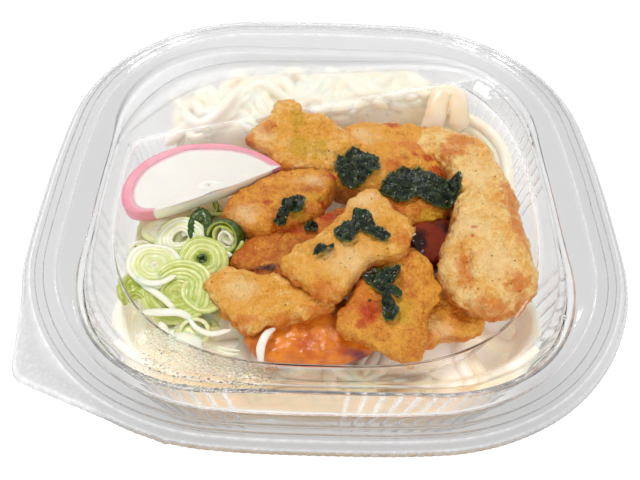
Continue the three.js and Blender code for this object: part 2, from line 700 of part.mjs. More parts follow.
// The heap of toppings, from the top down: what lies lower is cut clear of what lies on it.
const HEAP = [
  ['white_shred', shred, WHITE_SHRED],
  ['tempura_top', (grow) => lump(TOP_PIECE, grow), BATTER],
  ['tempura_back', (grow) => lump(BACK_PIECE, grow), BATTER],
  ['fish_cake', fishCakeSlice, FISH_CAKE_WHITE],
  ['tempura_front_right', (grow) => lump(FRONT_RIGHT_PIECE, grow), BATTER],
  ['tempura_left', (grow) => lump(LEFT_PIECE, grow), BATTER],
  ['tempura_front_left', (grow) => lump(FRONT_LEFT_PIECE, grow), BATTER],
  ['tempura_long', longPiece, BATTER],
  ['tempura_middle', (grow) => lump(MIDDLE_PIECE, grow), BATTER],
  ['tempura_behind', (grow) => lump(BEHIND_PIECE, grow), BATTER],
  ['tempura_under_left', (grow) => lump(UNDER_LEFT_PIECE, grow), BATTER],
  ['eggplant', (grow) => lump(EGGPLANT_PIECE, grow), EGGPLANT],
  ['sweet_potato', (grow) => lump(SWEET_POTATO_SLICE, grow), SWEET_POTATO],
  ['tempura_low_right', (grow) => lump(LOW_RIGHT_PIECE, grow), BATTER],
];

const overTray = toppingSpace();
let takenRoom = null;
const heapMeshes = [];
for (const [name, make, look] of HEAP) {
  const whole = toSolid(make(0)).intersect(overTray);
  const solid = takenRoom ? whole.subtract(takenRoom) : whole;
  const room = toSolid(make(GAP));
  takenRoom = takenRoom ? takenRoom.add(room) : room;
  if (name === 'fish_cake') {
    addNode('fish_cake_body', toGeometry(solid.intersect(toSolid(fishCakeInside(GAP)))), look);
    addNode('fish_cake_skin', toGeometry(solid.subtract(toSolid(fishCakeInside(0)))), FISH_CAKE_PINK);
  } else {
    heapMeshes.push(addNode(name, toGeometry(solid), look));
  }
}
addNode('spring_onion', toGeometry(springOnion().intersect(overTray).subtract(takenRoom)), SPRING_ONION);

udon.updateMatrixWorld(true);
for (const [name, outline] of Object.entries(SEAWEED_LEAVES)) {
  const solid = toSolid(leaf(outline, heapMeshes)).subtract(takenRoom);
  addNode(name, toGeometry(solid), SEAWEED);
}

export default udon;
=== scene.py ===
"""Looks for a takeaway bowl of chilled udon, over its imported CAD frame.

A clear bowl holds the noodles. A clear tray hangs in its mouth and carries fried pieces, a slice of
fish cake, spring onion and seaweed. Sizes in this file are in millimetres; meshes are made in metres.
"""

import math
from itertools import product

import bpy
import numpy as np
from mathutils import Matrix
from mathutils.bvhtree import BVHTree


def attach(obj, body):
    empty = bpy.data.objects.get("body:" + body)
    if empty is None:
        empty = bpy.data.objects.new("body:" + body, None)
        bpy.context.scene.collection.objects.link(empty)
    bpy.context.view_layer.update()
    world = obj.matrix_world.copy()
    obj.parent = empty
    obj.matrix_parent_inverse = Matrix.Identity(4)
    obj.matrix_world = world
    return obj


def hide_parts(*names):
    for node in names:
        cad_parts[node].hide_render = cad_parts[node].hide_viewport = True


MM = 0.001
TAU = 2 * math.pi

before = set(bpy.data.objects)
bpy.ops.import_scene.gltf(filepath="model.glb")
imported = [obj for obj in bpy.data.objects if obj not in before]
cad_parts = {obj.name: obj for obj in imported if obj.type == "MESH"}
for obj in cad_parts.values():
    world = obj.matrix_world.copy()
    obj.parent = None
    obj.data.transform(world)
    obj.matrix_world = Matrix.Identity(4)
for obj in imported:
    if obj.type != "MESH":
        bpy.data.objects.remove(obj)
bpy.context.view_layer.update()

# ---- Driving sizes, the same as the CAD model's ----

HALF_WIDTH = 90.0
BOWL_HEIGHT = 46.0
LIP_HEIGHT = 43.0
SIDE_RADIUS = 5.6 * HALF_WIDTH
CORNER_RADIUS = 0.71 * HALF_WIDTH
CORNER_PUSH = 3.5
SHEET = 0.6
TRAY_TOP = 43.4
TRAY_FLOOR = 26.3
RECESS_HALF_WIDTH = 66.5
RECESS_HALF_DEPTH = 65.0
RECESS_SQUARENESS = 2.7
BACK_EDGE_DISTANCE = 39.3
BACK_EDGE_TURN = math.radians(17.7)
NOODLE_RADIUS = 2.3


# ---- Numbers and noise ----


def smoothstep(values, low, high):
    share = np.clip((values - low) / (high - low), 0, 1)
    return share * share * (3 - 2 * share)


def unit(vectors):
    return vectors / np.linalg.norm(vectors, axis=-1, keepdims=True)


def polar(angles, radius, height):
    """Points round the middle, at an angle, a radius and a height each."""
    return np.column_stack(np.broadcast_arrays(radius * np.cos(angles), radius * np.sin(angles), height))


def lattice_noise(points, seed):
    """Smooth noise between -1 and 1 over a unit lattice, one value for each point."""
    cell = np.floor(points).astype(np.int64)
    part = points - cell
    part = part * part * (3 - 2 * part)
    total = np.zeros(len(points))
    for corner in product((0, 1), repeat=3):
        x, y, z = (cell + corner).T
        mixed = x * 73856093 ^ y * 19349663 ^ z * 83492791 ^ (seed * 49979687)
        mixed = (mixed ^ (mixed >> 13)) * 1274126177 & 0x7FFFFFFF
        mixed = (mixed ^ (mixed >> 16)) * 668265263 & 0x7FFFFFFF
        value = (mixed & 0xFFFFFF) / 0x800000 - 1.0
        total += value * np.prod(np.where(corner, part, 1 - part), axis=1)
    return total


def layered_noise(points, size, layers, seed):
    """Noise whose largest lumps are about `size` across, with finer layers on it."""
    total = np.zeros(len(points))
    for layer in range(layers):
        total += lattice_noise(points / size * 2**layer + 7.3 * layer, seed + layer) / 2**layer
    return total


def even_path(points, count):
    """Evenly parted points along a line."""
    lengths = np.concatenate([[0], np.cumsum(np.linalg.norm(np.diff(points, axis=0), axis=1))])
    stops = np.linspace(0, lengths[-1], count)
    return np.stack([np.interp(stops, lengths, column) for column in points.T], axis=1)


def smooth_path(knots, count):
    """Evenly parted points on a smooth curve through a few knots."""
    knots = np.asarray(knots, float)
    padded = np.vstack([2 * knots[0] - knots[1], knots, 2 * knots[-1] - knots[-2]])
    t = np.linspace(0, 1, 12, endpoint=False)[:, None]
    points = []
    for a, b, c, d in zip(padded, padded[1:], padded[2:], padded[3:]):
        curve = 2 * b + (c - a) * t + (2 * a - 5 * b + 4 * c - d) * t**2 + (3 * b - a - 3 * c + d) * t**3
        points.append(0.5 * curve)
    return even_path(np.vstack(points + [knots[-1:]]), count)


def closed_curve(knots, count):
    """Evenly parted points on a smooth closed curve through a few [x, y] knots."""
    knots = np.asarray(knots, float)
    around = np.vstack([knots[-2:], knots, knots[:3]])
    path = smooth_path(around, 60 * len(around))
    first = np.argmin(np.linalg.norm(path[: len(path) // 3] - knots[0], axis=1))
    last = len(path) // 2 + np.argmin(np.linalg.norm(path[len(path) // 2 :] - knots[0], axis=1))
    return even_path(path[first : last + 1], count + 1)[:-1]


# ---- Making pieces ----


class Shape:
    """Points and groups of faces that grow piece by piece, with named values at each point."""

    def __init__(self):
        self.points, self.faces, self.values = [], [], {}
        self.count = 0

    def add(self, points, *faces, **values):
        for name in self.values | values:
            known = self.values.setdefault(name, [np.zeros(self.count)] if self.count else [])
            known.append(np.broadcast_to(values.get(name, 0.0), len(points)))
        self.points.append(points)
        self.faces += [group + self.count for group in faces]
        self.count += len(points)


def make_piece(name, shape, material, node):
    """Turns a shape into an object that stands for a CAD node."""
    mesh = bpy.data.meshes.new(name)
    faces = [face for group in shape.faces for face in group.tolist()]
    mesh.from_pydata((np.vstack(shape.points) * MM).tolist(), [], faces)
    mesh.materials.append(material)
    for value_name, parts in shape.values.items():
        attribute = mesh.attributes.new(value_name, "FLOAT", "POINT")
        attribute.data.foreach_set("value", np.concatenate(parts).astype(np.float32))
    mesh.validate()
    mesh.shade_smooth()
    piece = bpy.data.objects.new(name, mesh)
    bpy.context.scene.collection.objects.link(piece)
    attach(piece, "root")
    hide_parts(node)
    return piece


def read_mesh(mesh):
    """A mesh's points in millimetres, and its faces."""
    flat = np.zeros(3 * len(mesh.vertices))
    mesh.vertices.foreach_get("co", flat)
    return flat.reshape(-1, 3) / MM, [tuple(face.vertices) for face in mesh.polygons]


def grid_faces(rows, sides):
    """Quads between rows of points, each row a closed ring of `sides` points."""
    row, side = np.meshgrid(np.arange(rows - 1), np.arange(sides), indexing="ij")
    here = (row * sides + side).ravel()
    right = (row * sides + (side + 1) % sides).ravel()
    return np.stack([here, right, right + sides, here + sides], axis=1)


def add_rings(shape, rings, centres=None, fade=False, **values):
    """Adds a closed body of rings, with a fan round a centre at each end.

    A value is one number, or a number for each point of the rings, which may fade to 0 at the centres.
    """
    rings = np.asarray(rings, float)
    rows, sides = rings.shape[:2]
    if centres is None:
        centres = (rings[0].mean(axis=0), rings[-1].mean(axis=0))
    for name, value in values.items():
        value = np.asarray(value, float)
        if value.ndim:
            ends = [0, 0] if fade else [value[0, 0], value[-1, 0]]
            values[name] = np.concatenate([value.ravel(), ends])
    around = np.arange(sides)
    next_one = (around + 1) % sides
    last = (rows - 1) * sides
    first_fan = np.stack([next_one, around, np.full(sides, rows * sides)], axis=1)
    last_fan = np.stack([last + around, last + next_one, np.full(sides, rows * sides + 1)], axis=1)
    points = np.vstack([rings.reshape(-1, 3), *centres])
    shape.add(points, grid_faces(rows, sides), first_fan, last_fan, **values)


def add_loop(shape, rings, **values):
    """Adds a body whose last ring joins its first."""
    rings = np.asarray(rings)
    rows, sides = rings.shape[:2]
    flat_values = {name: np.ravel(value) for name, value in values.items()}
    shape.add(rings.reshape(-1, 3), grid_faces(rows + 1, sides) % (rows * sides), **flat_values)


def add_strand(shape, path, radius, sides, squash=1.0, **values):
    """Adds a round strand along a path, with rounded ends."""
    along = unit(np.gradient(path, axis=0))
    sideways = unit(np.cross(along, [0.12, 0.07, 1.0]))
    upwards = np.cross(along, sideways)
    radii = np.broadcast_to(radius, len(path)).astype(float)
    radii[[0, -1]] *= 0.35
    radii[[1, -2]] *= 0.8
    turn = (np.arange(sides) * TAU / sides)[:, None]
    ring = np.cos(turn) * sideways[:, None] + squash * np.sin(turn) * upwards[:, None]
    ends = (path[0] - 0.3 * radii[1] * along[0], path[-1] + 0.3 * radii[1] * along[-1])
    add_rings(shape, path[:, None] + radii[:, None, None] * ring, ends, **values)


def placed(points, at, tilt):
    """Tilts points so that their back rises and their right side falls, in degrees, and moves them."""
    back_up, right_down = (math.radians(angle) for angle in tilt)
    turn = np.array(Matrix.Rotation(back_up, 3, "X") @ Matrix.Rotation(right_down, 3, "Y"))
    return np.asarray(points, float) @ turn.T + np.asarray(at, float)


# ---- Outlines seen from above ----


def reach_circle(angle, x, y, radius):
    """How far out a circle round [x, y] lies in a direction."""
    along = x * np.cos(angle) + y * np.sin(angle)
    return along + np.sqrt(np.maximum(0, along**2 - x**2 - y**2 + radius**2))


def reach_line(angle, distance, facing):
    """How far out a straight line lies in a direction. It lies at a distance, towards `facing`."""
    cosine = np.cos(angle - facing)
    return np.where(cosine > 0.05, distance / np.maximum(cosine, 0.05), 1e3)


def rounded_min(a, b, softness):
    low = np.minimum(a, b)
    return low - softness * np.log(np.exp((low - a) / softness) + np.exp((low - b) / softness))


SIDE_CENTRE = HALF_WIDTH - SIDE_RADIUS
CENTRES_APART = SIDE_RADIUS - CORNER_RADIUS
CORNER_CENTRE = (SIDE_CENTRE + math.sqrt(2 * CENTRES_APART**2 - SIDE_CENTRE**2)) / 2
SIDE_SPREAD = math.atan2(CORNER_CENTRE, CORNER_CENTRE - SIDE_CENTRE)


def bowl_radius(angle, inset):
    """The bowl's outline, a square with bowed sides and round corners, drawn in less at the inner corners."""
    inset = inset - CORNER_PUSH * np.sin(2 * angle) ** 4 * smoothstep(inset, 10, 15.5)
    in_quarter = np.mod(angle, math.pi / 2)
    fold = np.minimum(in_quarter, math.pi / 2 - in_quarter)
    side = reach_circle(fold, SIDE_CENTRE, 0, SIDE_RADIUS - inset)
    seen = np.arctan2(side * np.sin(fold), side * np.cos(fold) - SIDE_CENTRE)
    corner = reach_circle(fold, CORNER_CENTRE, CORNER_CENTRE, CORNER_RADIUS - inset)
    return np.where(seen < SIDE_SPREAD, side, corner)


# The lift tab's two straight edges, by distance and facing, and the angles that it lies between.
TAB_LEFT = (92.0, math.radians(188))
TAB_FRONT = (96.6, math.radians(248))
TAB_SPAN = (math.radians(204), math.radians(246))


def tab_reach(angle):
    """How far the lift tab at the front left corner runs out past the bowl's outline."""
    turned = np.mod(angle, TAU)
    edges = rounded_min(reach_line(turned, *TAB_LEFT), reach_line(turned, *TAB_FRONT), 1.6)
    reach = np.maximum(0, edges - bowl_radius(turned, 0))
    return np.where((turned > TAB_SPAN[0]) & (turned < TAB_SPAN[1]), reach, 0)


def recess_radius(angle, inset):
    """The tray's recess, rounded at the front and sides and straight at the back."""
    across = np.abs(np.cos(angle) / (RECESS_HALF_WIDTH - inset)) ** RECESS_SQUARENESS
    along = np.abs(np.sin(angle) / (RECESS_HALF_DEPTH - inset)) ** RECESS_SQUARENESS
    rounded = (across + along) ** (-1 / RECESS_SQUARENESS)
    back = reach_line(angle, BACK_EDGE_DISTANCE - inset, math.pi / 2 + BACK_EDGE_TURN)
    return rounded_min(rounded, back, 2.0)


def even_angles(radius_of, count):
    """Angles whose points on an outline lie evenly apart, how far round each is, and the way all round."""
    angle = np.linspace(0, TAU, 8001)
    outline = polar(angle, radius_of(angle), 0)
    run = np.concatenate([[0], np.cumsum(np.linalg.norm(np.diff(outline, axis=0), axis=1))])
    stops = np.arange(count) * run[-1] / count
    return np.interp(stops, run, angle), stops, run[-1]


# ---- Formed plastic sheets ----


def rounded_line(corners, radius, sparing=False):
    """A section line with rounded corners. A sparing one has one facet at a slight or tiny corner."""
    corners = np.asarray(corners, float)
    points = [corners[0]]
    for before, corner, after in zip(corners, corners[1:], corners[2:]):
        to_before, to_after = before - corner, after - corner
        reach = min(radius, 0.45 * np.linalg.norm(to_before), 0.45 * np.linalg.norm(to_after))
        start = corner + reach * to_before / np.linalg.norm(to_before)
        end = corner + reach * to_after / np.linalg.norm(to_after)
        slight = -to_before @ to_after > 0.98 * np.linalg.norm(to_before) * np.linalg.norm(to_after)
        for t in np.linspace(0, 1, 2 if sparing and (slight or reach < 0.3) else 4):
            points.append((1 - t) ** 2 * start + 2 * t * (1 - t) * corner + t**2 * end)
    points.append(corners[-1])
    return np.array(points)


def offset_line(line, distance):
    along = np.gradient(line, axis=0)
    return line + distance * unit(np.stack([-along[:, 1], along[:, 0]], axis=1))


def sheet_shape(section, angles, ring_at):
    """A closed thin sheet that turns a section line [inset, height] round the outline.

    The line runs from the middle outwards. `ring_at(inset, height)` gives a ring's radius and its values.
    """
    edge = np.vstack([offset_line(section, SHEET / 2), offset_line(section, -SHEET / 2)[::-1]])
    rings, values = [], {}
    for inset, height in edge:
        radius, ring_values = ring_at(inset, height)
        rings.append(polar(angles, radius, height))
        for name, value in ring_values.items():
            values.setdefault(name, []).append(np.broadcast_to(value, len(angles)))
    shape = Shape()
    add_rings(shape, rings, [(0, 0, edge[0][1]), (0, 0, edge[-1][1])], fade=True, **values)
    return shape


RIM_LEVEL = BOWL_HEIGHT - SHEET / 2
BOWL_SECTION = [
    # floor and foot
    (50.0, 1.3), (34.6, 1.3), (33.0, 0.35), (28.3, 0.35),
    # wall
    (26.5, 3.3), (21.7, 26.0), (18.9, 38.4), (18.4, 41.6),
    # ledge for the tray
    (17.9, 42.2), (16.0, 42.2), (10.5, 44.3),
    # rim with two grooves, and lip
    (9.5, RIM_LEVEL), (6.8, RIM_LEVEL), (6.5, RIM_LEVEL - 0.35), (6.2, RIM_LEVEL), (4.5, RIM_LEVEL),
    (4.2, RIM_LEVEL - 0.3), (3.9, RIM_LEVEL), (2.9, RIM_LEVEL), (1.5, 44.9), (0.3, LIP_HEIGHT),
]
BOWL_SIDES = 800
BOWL_ROUNDING = 0.9
WALL_INSETS = (18.4, 28.0)
WALL_MIDDLE_INSET = 24.0
RIM_INSET = 9.6
LEDGE_INSET = 17.0
RIB_PITCH = 4.4
RIB_DEPTH = 0.45
RIB_HALF_WIDTH = 0.5
# Heights between which the ribs, and the panels' bulge, rise from nothing and fall to nothing.
RIB_START, RIB_END = (3, 5), (39.5, 41)
BULGE_START, BULGE_END = (1, 8), (20, 36)
BULGE_DEPTH = 0.6
KNURL_PITCH = 1.7
KNURL_DEPTH = 0.16
PANEL_CENTRES = [math.radians(degrees) for degrees in (-98, -8, 82, 172)]
PANEL_HALF = 14.5
# Where the sheet is whitened at a bend, partly by stress and partly as a painted highlight line: the inset of
# its middle, and how far it reaches to each side.
CREASES = [(18.3, 0.12), (9.7, 0.3), (6.5, 0.25), (4.2, 0.25), (2.6, 0.4), (0.8, 0.4)]


def crease(inset):
    """How strongly the plastic is whitened at a bend, from 0 to 1: partly stress whitening, partly a painted
    highlight line along the bend.
    """
    return max(1 - smoothstep(abs(inset - middle), 0.0, width) for middle, width in CREASES)


def panel_distance(angles, run, around):
    """How far each place on the outline is from the middle of the nearest smooth panel."""
    apart = [np.abs(run - np.interp(centre % TAU, angles, run)) for centre in PANEL_CENTRES]
    return np.minimum.reduce([np.minimum(one_way, around - one_way) for one_way in apart])


def bowl_painted_shade(angles):
    """Painted shade: how grey the rim, the ledge inside it and the wall are made all round the bowl, greyer
    or clearer by side.
    """
    front = smoothstep(-np.sin(angles), 0.55, 0.9)
    back = smoothstep(np.sin(angles), 0.5, 0.9)
    right = smoothstep(np.cos(angles), 0.4, 0.9)
    beside = 1 - smoothstep(-np.sin(angles), 0.78, 0.95)
    rim = 0.72 + 0.26 * front - 0.14 * back + 0.12 * right
    return rim, (0.8 - 0.22 * back) * beside, 0.45 * beside + 0.4 * back


def bowl_sheet():
    angles, run, around = even_angles(lambda angle: bowl_radius(angle, WALL_MIDDLE_INSET), BOWL_SIDES)
    from_panel = panel_distance(angles, run, around)
    bulge = np.clip(1 - from_panel / PANEL_HALF, 0, 1) ** 0.6
    ribbed = smoothstep(from_panel, PANEL_HALF - 0.6, PANEL_HALF + 0.6)
    from_rib = np.abs(np.mod(run * round(around / RIB_PITCH) / around, 1.0) - 0.5) * RIB_PITCH
    rib = ribbed * (1 - smoothstep(from_rib, 0.0, 2 * RIB_HALF_WIDTH))
    rib = rib * (1 - 0.55 * smoothstep(-np.cos(angles), 0.5, 0.85))
    knurl = 0.5 + 0.5 * np.sin(TAU * run / KNURL_PITCH)
    tab = tab_reach(angles)
    rim_shade, ledge_shade, wall_shade = bowl_painted_shade(angles)

    def ring_at(inset, height):
        in_wall = WALL_INSETS[0] < inset < WALL_INSETS[1]
        on_wall = smoothstep(height, *RIB_START) * (1 - smoothstep(height, *RIB_END)) * in_wall
        low_wall = smoothstep(height, *BULGE_START) * (1 - smoothstep(height, *BULGE_END)) * in_wall
        wobble = 0.12 * np.sin(5 * angles + 0.2 * height) + 0.08 * np.sin(13 * angles)
        near_lip = smoothstep(-inset, -2.6, -0.9)
        radius = bowl_radius(angles, inset) + wobble
        radius = radius + RIB_DEPTH * on_wall * rib + BULGE_DEPTH * low_wall * bulge
        radius = radius + KNURL_DEPTH * knurl * near_lip * (1 - smoothstep(tab, 0.1, 0.6))
        # Painted shade: the plastic is greyed by side to stand in for the darker surroundings seen in and
        # through it.
        shaded_tint = rim_shade if inset < RIM_INSET else ledge_shade if inset < LEDGE_INSET else wall_shade
        return radius + near_lip * tab, {
            "smoke": shaded_tint,
            "tab": near_lip * smoothstep(tab, 0.2, 1.2),
            # Painted highlight: the rib crests and bends are whitened to show as light lines.
            "crease": np.maximum(on_wall * rib, crease(inset) * (0.75 + 0.25 * knurl)),
        }

    return sheet_shape(rounded_line(BOWL_SECTION, BOWL_ROUNDING, sparing=True), angles, ring_at)


TRAY_LEDGE = TRAY_TOP - 0.3
TRAY_BASE = TRAY_FLOOR - 0.3
TRAY_SECTION = [
    # recess
    (16.0, TRAY_BASE), (7.8, TRAY_BASE), (4.3, TRAY_FLOOR + 1.3), (2.6, 33.5), (0.9, 40.45), (0.35, 43.1),
    # brim with a bead
    (-0.3, 43.75), (-1.2, 43.35), (-2.0, TRAY_LEDGE), (-2.4, TRAY_LEDGE), (-2.5, TRAY_TOP),
    (-2.6, TRAY_LEDGE), (-2.9, TRAY_LEDGE), (-3.3, TRAY_TOP - 0.5),
]
TRAY_SIDES = 640
TRAY_ROUNDING = 0.8
TRAY_RIM_INSET = -0.9
TRAY_OUTER_INSET = 17.0


def tray_sheet():
    angles = even_angles(lambda angle: recess_radius(angle, 0), TRAY_SIDES)[0]
    inner = recess_radius(angles, TRAY_RIM_INSET)
    outer = bowl_radius(angles, TRAY_OUTER_INSET)

    def ring_at(inset, height):
        if inset > TRAY_RIM_INSET:
            radius = recess_radius(angles, inset) + 0.08 * np.sin(9 * angles + 0.3 * height)
        else:
            radius = inner + (outer - inner) * (TRAY_RIM_INSET - inset) / 2.4
        x, y = radius * np.cos(angles), radius * np.sin(angles)
        behind = radius * np.cos(angles - math.pi / 2 - BACK_EDGE_TURN) - BACK_EDGE_DISTANCE
        # Painted highlight: the recess edge, the bead and the outer brim are whitened to show as light lines.
        bends = ((0.25, abs(inset - 0.35) < 0.3), (0.15, abs(inset + 2.5) < 0.12), (0.1, inset < -3.1))
        return radius, {
            "fog": smoothstep(behind, -1.5, 0.5),
            "crease": max(amount * is_there for amount, is_there in bends),
            # Painted shade: the outer brim is greyed at its left and right.
            "smoke": 0.15 * (inset < TRAY_RIM_INSET) * (1 - smoothstep(np.abs(np.sin(angles)), 0.5, 0.8)),
            "drops": smoothstep(-y, 52, 59) * smoothstep(-x, 12, 22) * (1 - smoothstep(-x, 44, 54)),
        }

    return sheet_shape(rounded_line(TRAY_SECTION, TRAY_ROUNDING), angles, ring_at)


# ---- Noodles ----

LOOSE_SIDE = math.radians(165)
CORE_SIDES = 96
# Heights of the core's rings, and how far each is from the wall.
CORE_RINGS = [(2.4, 8.2), (3.4, 6.2), (6, 4.2), (12, 4.2), (17, 4.2), (20, 5.7), (21.4, 8.2)]
SIDE_NOODLES = 66
TOP_NOODLES = 50
BACK_NOODLES = 66
CORNER_NOODLES = 28
SIDE_STEPS = 44
BACK_STEPS = 46
CORNER_STEPS = 40
EDGE_CLEARANCE = 3.6
WALL_CLEARANCE = 3.4


def wall_inset(height):
    """How far in the bowl's wall is at a height."""
    return np.interp(height, [3.4, 41.6], [26.8, 18.7])


def noodle_radius(angle, height, clearance):
    """How far out the noodles reach. They leave room at the bowl's left side."""
    pull = 12 * smoothstep(np.cos(angle - LOOSE_SIDE), 0.4, 1)
    return bowl_radius(angle, wall_inset(height) + clearance) - pull


def back_edge_height(x):
    """Where the tray's straight edge is, in y, at a place across."""
    return (BACK_EDGE_DISTANCE + x * math.sin(BACK_EDGE_TURN)) / math.cos(BACK_EDGE_TURN)


def noodle_core(shape):
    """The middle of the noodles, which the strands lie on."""
    angles = np.linspace(0, TAU, CORE_SIDES, endpoint=False)
    rings = [polar(angles, noodle_radius(angles, level, apart), level) for level, apart in CORE_RINGS]
    add_rings(shape, rings, [(0, 0, CORE_RINGS[0][0]), (0, 0, CORE_RINGS[-1][0])])


def side_noodle(random):
    """A strand that wanders along the bowl's wall."""
    start = random.uniform(0, TAU)
    sweep = random.uniform(0.5, 1.5) * random.choice([-1, 1])
    share = np.linspace(0, 1, SIDE_STEPS)
    middle = random.uniform(7, 20)
    swing = random.uniform(1, 6)
    height = middle + swing * np.sin(random.uniform(2, 6) * share + random.uniform(0, TAU))
    height = np.clip(height, 5.2, 22.5)
    angle = start + sweep * share
    deep = random.uniform(0.0, 2.2) + 3.5 * np.abs(2 * share - 1) ** 6
    return polar(angle, noodle_radius(angle, height, NOODLE_RADIUS + 0.6 + deep), height)


def top_noodle(random):
    """A strand on top of the noodles, under the tray."""
    start = random.uniform(0, TAU)
    knots = []
    place = np.array([math.cos(start), math.sin(start)]) * random.uniform(10, 52)
    heading = random.uniform(0, TAU)
    for _ in range(7):
        knots.append([*place, random.uniform(20.8, 22.6)])
        heading += random.uniform(-0.9, 0.9)
        place = place + 13 * np.array([math.cos(heading), math.sin(heading)])
        limit = noodle_radius(math.atan2(place[1], place[0]), 21.0, 4.0)
        if np.linalg.norm(place) > limit:
            place *= limit / np.linalg.norm(place)
            heading += 1.4
    return smooth_path(knots, SIDE_STEPS)


def back_place(across, behind, height):
    """A place behind the tray's straight edge: across is x, and behind runs from the edge to the wall."""
    near = back_edge_height(across) + EDGE_CLEARANCE
    angle = math.atan2(60, across)
    for _ in range(8):
        far = bowl_radius(angle, wall_inset(height) + WALL_CLEARANCE) * math.sin(angle)
        angle = math.atan2(far, across)
    return [across, near + (far - near) * behind, height]


def back_noodle(random, high):
    """A strand that runs across, behind the tray's straight edge."""
    start = random.uniform(-60, 20)
    end = min(46, start + random.uniform(26, 60))
    knots = []
    for index, across in enumerate(np.linspace(start, end, 6)):
        level = high - 2.0 * (index in (0, 5)) + random.uniform(-1.4, 1.4) - 4 * max(0, (across - 20) / 30)
        knots.append(back_place(across, random.uniform(0.0, 1.0), level))
    return smooth_path(knots, BACK_STEPS)


def corner_noodle(random):
    """A strand in a corner between the tray's recess and the wall."""
    middle = math.radians(random.choice([30.0, -40.0, -138.0], p=[0.4, 0.3, 0.3]))
    along = np.linspace(-1, 1, CORNER_STEPS)
    angle = middle + along * random.uniform(0.28, 0.42)
    height = random.uniform(21, 31) - 6 * along**2 + 1.2 * np.sin(7 * angle) - 3 * (middle < 0)
    clearance = NOODLE_RADIUS + 0.6 + random.uniform(0, 1.5)
    return polar(angle, bowl_radius(angle, wall_inset(height) + clearance), height)


def back_core(shape):
    """What the noodles behind the tray's straight edge lie on."""
    across = np.linspace(-54, 44, 40)
    rings = []
    for height, draw_in in [(18, 0.0), (26, 0.0), (32, 0.04), (34.5, 0.2)]:
        near = [back_place(x, 0.02 + draw_in, height) for x in across]
        far = [back_place(x, 0.98 - draw_in, height) for x in across[::-1]]
        rings.append(near + far)
    add_rings(shape, rings, shade=0.5)


FOLDED_NOODLE = [
    (38.5, 44, 28), (40.5, 48, 33.5), (42, 53.5, 37), (45, 57, 38.2), (48.4, 55.5, 37.6), (49.4, 50.5, 35.4),
    (49.8, 45, 30),
]


def warm_painted_shade(points):
    """Painted shade: how strongly the noodles take a darker, warmer tone, most at the very front where they
    lie in shade, and a little at the back.
    """
    behind = 0.14 * smoothstep(points[:, 1], 36, 46)
    return 0.1 * smoothstep(-points[:, 1], 25, 50) + 0.9 * smoothstep(-points[:, 1], 56, 66) + behind


def painted_wall_glow(points):
    """Painted light: a glow in the noodles that stands in for light the clear wall passes on to them, most in
    the bowl's front corners.
    """
    front = smoothstep(-points[:, 1], 15, 40)
    aside = smoothstep(np.abs(points[:, 0]), 20, 40)
    return 0.055 * (1 - front) + 0.14 * front * aside


def noodles(material):
    random = np.random.default_rng(11)
    shape = Shape()
    noodle_core(shape)
    back_core(shape)
    paths = [side_noodle(random) for _ in range(SIDE_NOODLES)]
    paths += [top_noodle(random) for _ in range(TOP_NOODLES)]
    paths += [back_noodle(random, random.uniform(33, 38.4)) for _ in range(BACK_NOODLES)]
    paths += [corner_noodle(random) for _ in range(CORNER_NOODLES)]
    for path in paths:
        radius = NOODLE_RADIUS * random.uniform(0.9, 1.05)
        add_strand(shape, path, radius, 8, 0.92, shade=random.uniform(0, 1))
    add_strand(shape, smooth_path(FOLDED_NOODLE, 40), NOODLE_RADIUS * 1.75, 12, 0.6, shade=0.9)
    # Painted shade: a darker, warmer tone, strongest at the front wall; the folded strand takes more of it.
    shape.values["warm_shade"] = [warm_painted_shade(points) for points in shape.points]
    shape.values["warm_shade"][-1] += 0.25
    # Painted light: how strongly each noodle glows.
    shape.values["painted_glow"] = [painted_wall_glow(points) for points in shape.points]
    return make_piece("udon", shape, material, "noodles")


# ---- Fried pieces ----


def mark_strength(points, marks, seed):
    """How strongly ragged marks (x, y, across, deep) cover each point, from 0 to 1."""
    strength = np.zeros(len(points))
    ragged = 0.35 * layered_noise(points, 2.6, 3, seed)
    for x, y, across, deep in marks:
        distance = np.hypot((points[:, 0] - x) / across, (points[:, 1] - y) / deep)
        strength = np.maximum(strength, 1 - smoothstep(distance + ragged, 0.1, 1.5))
    return strength


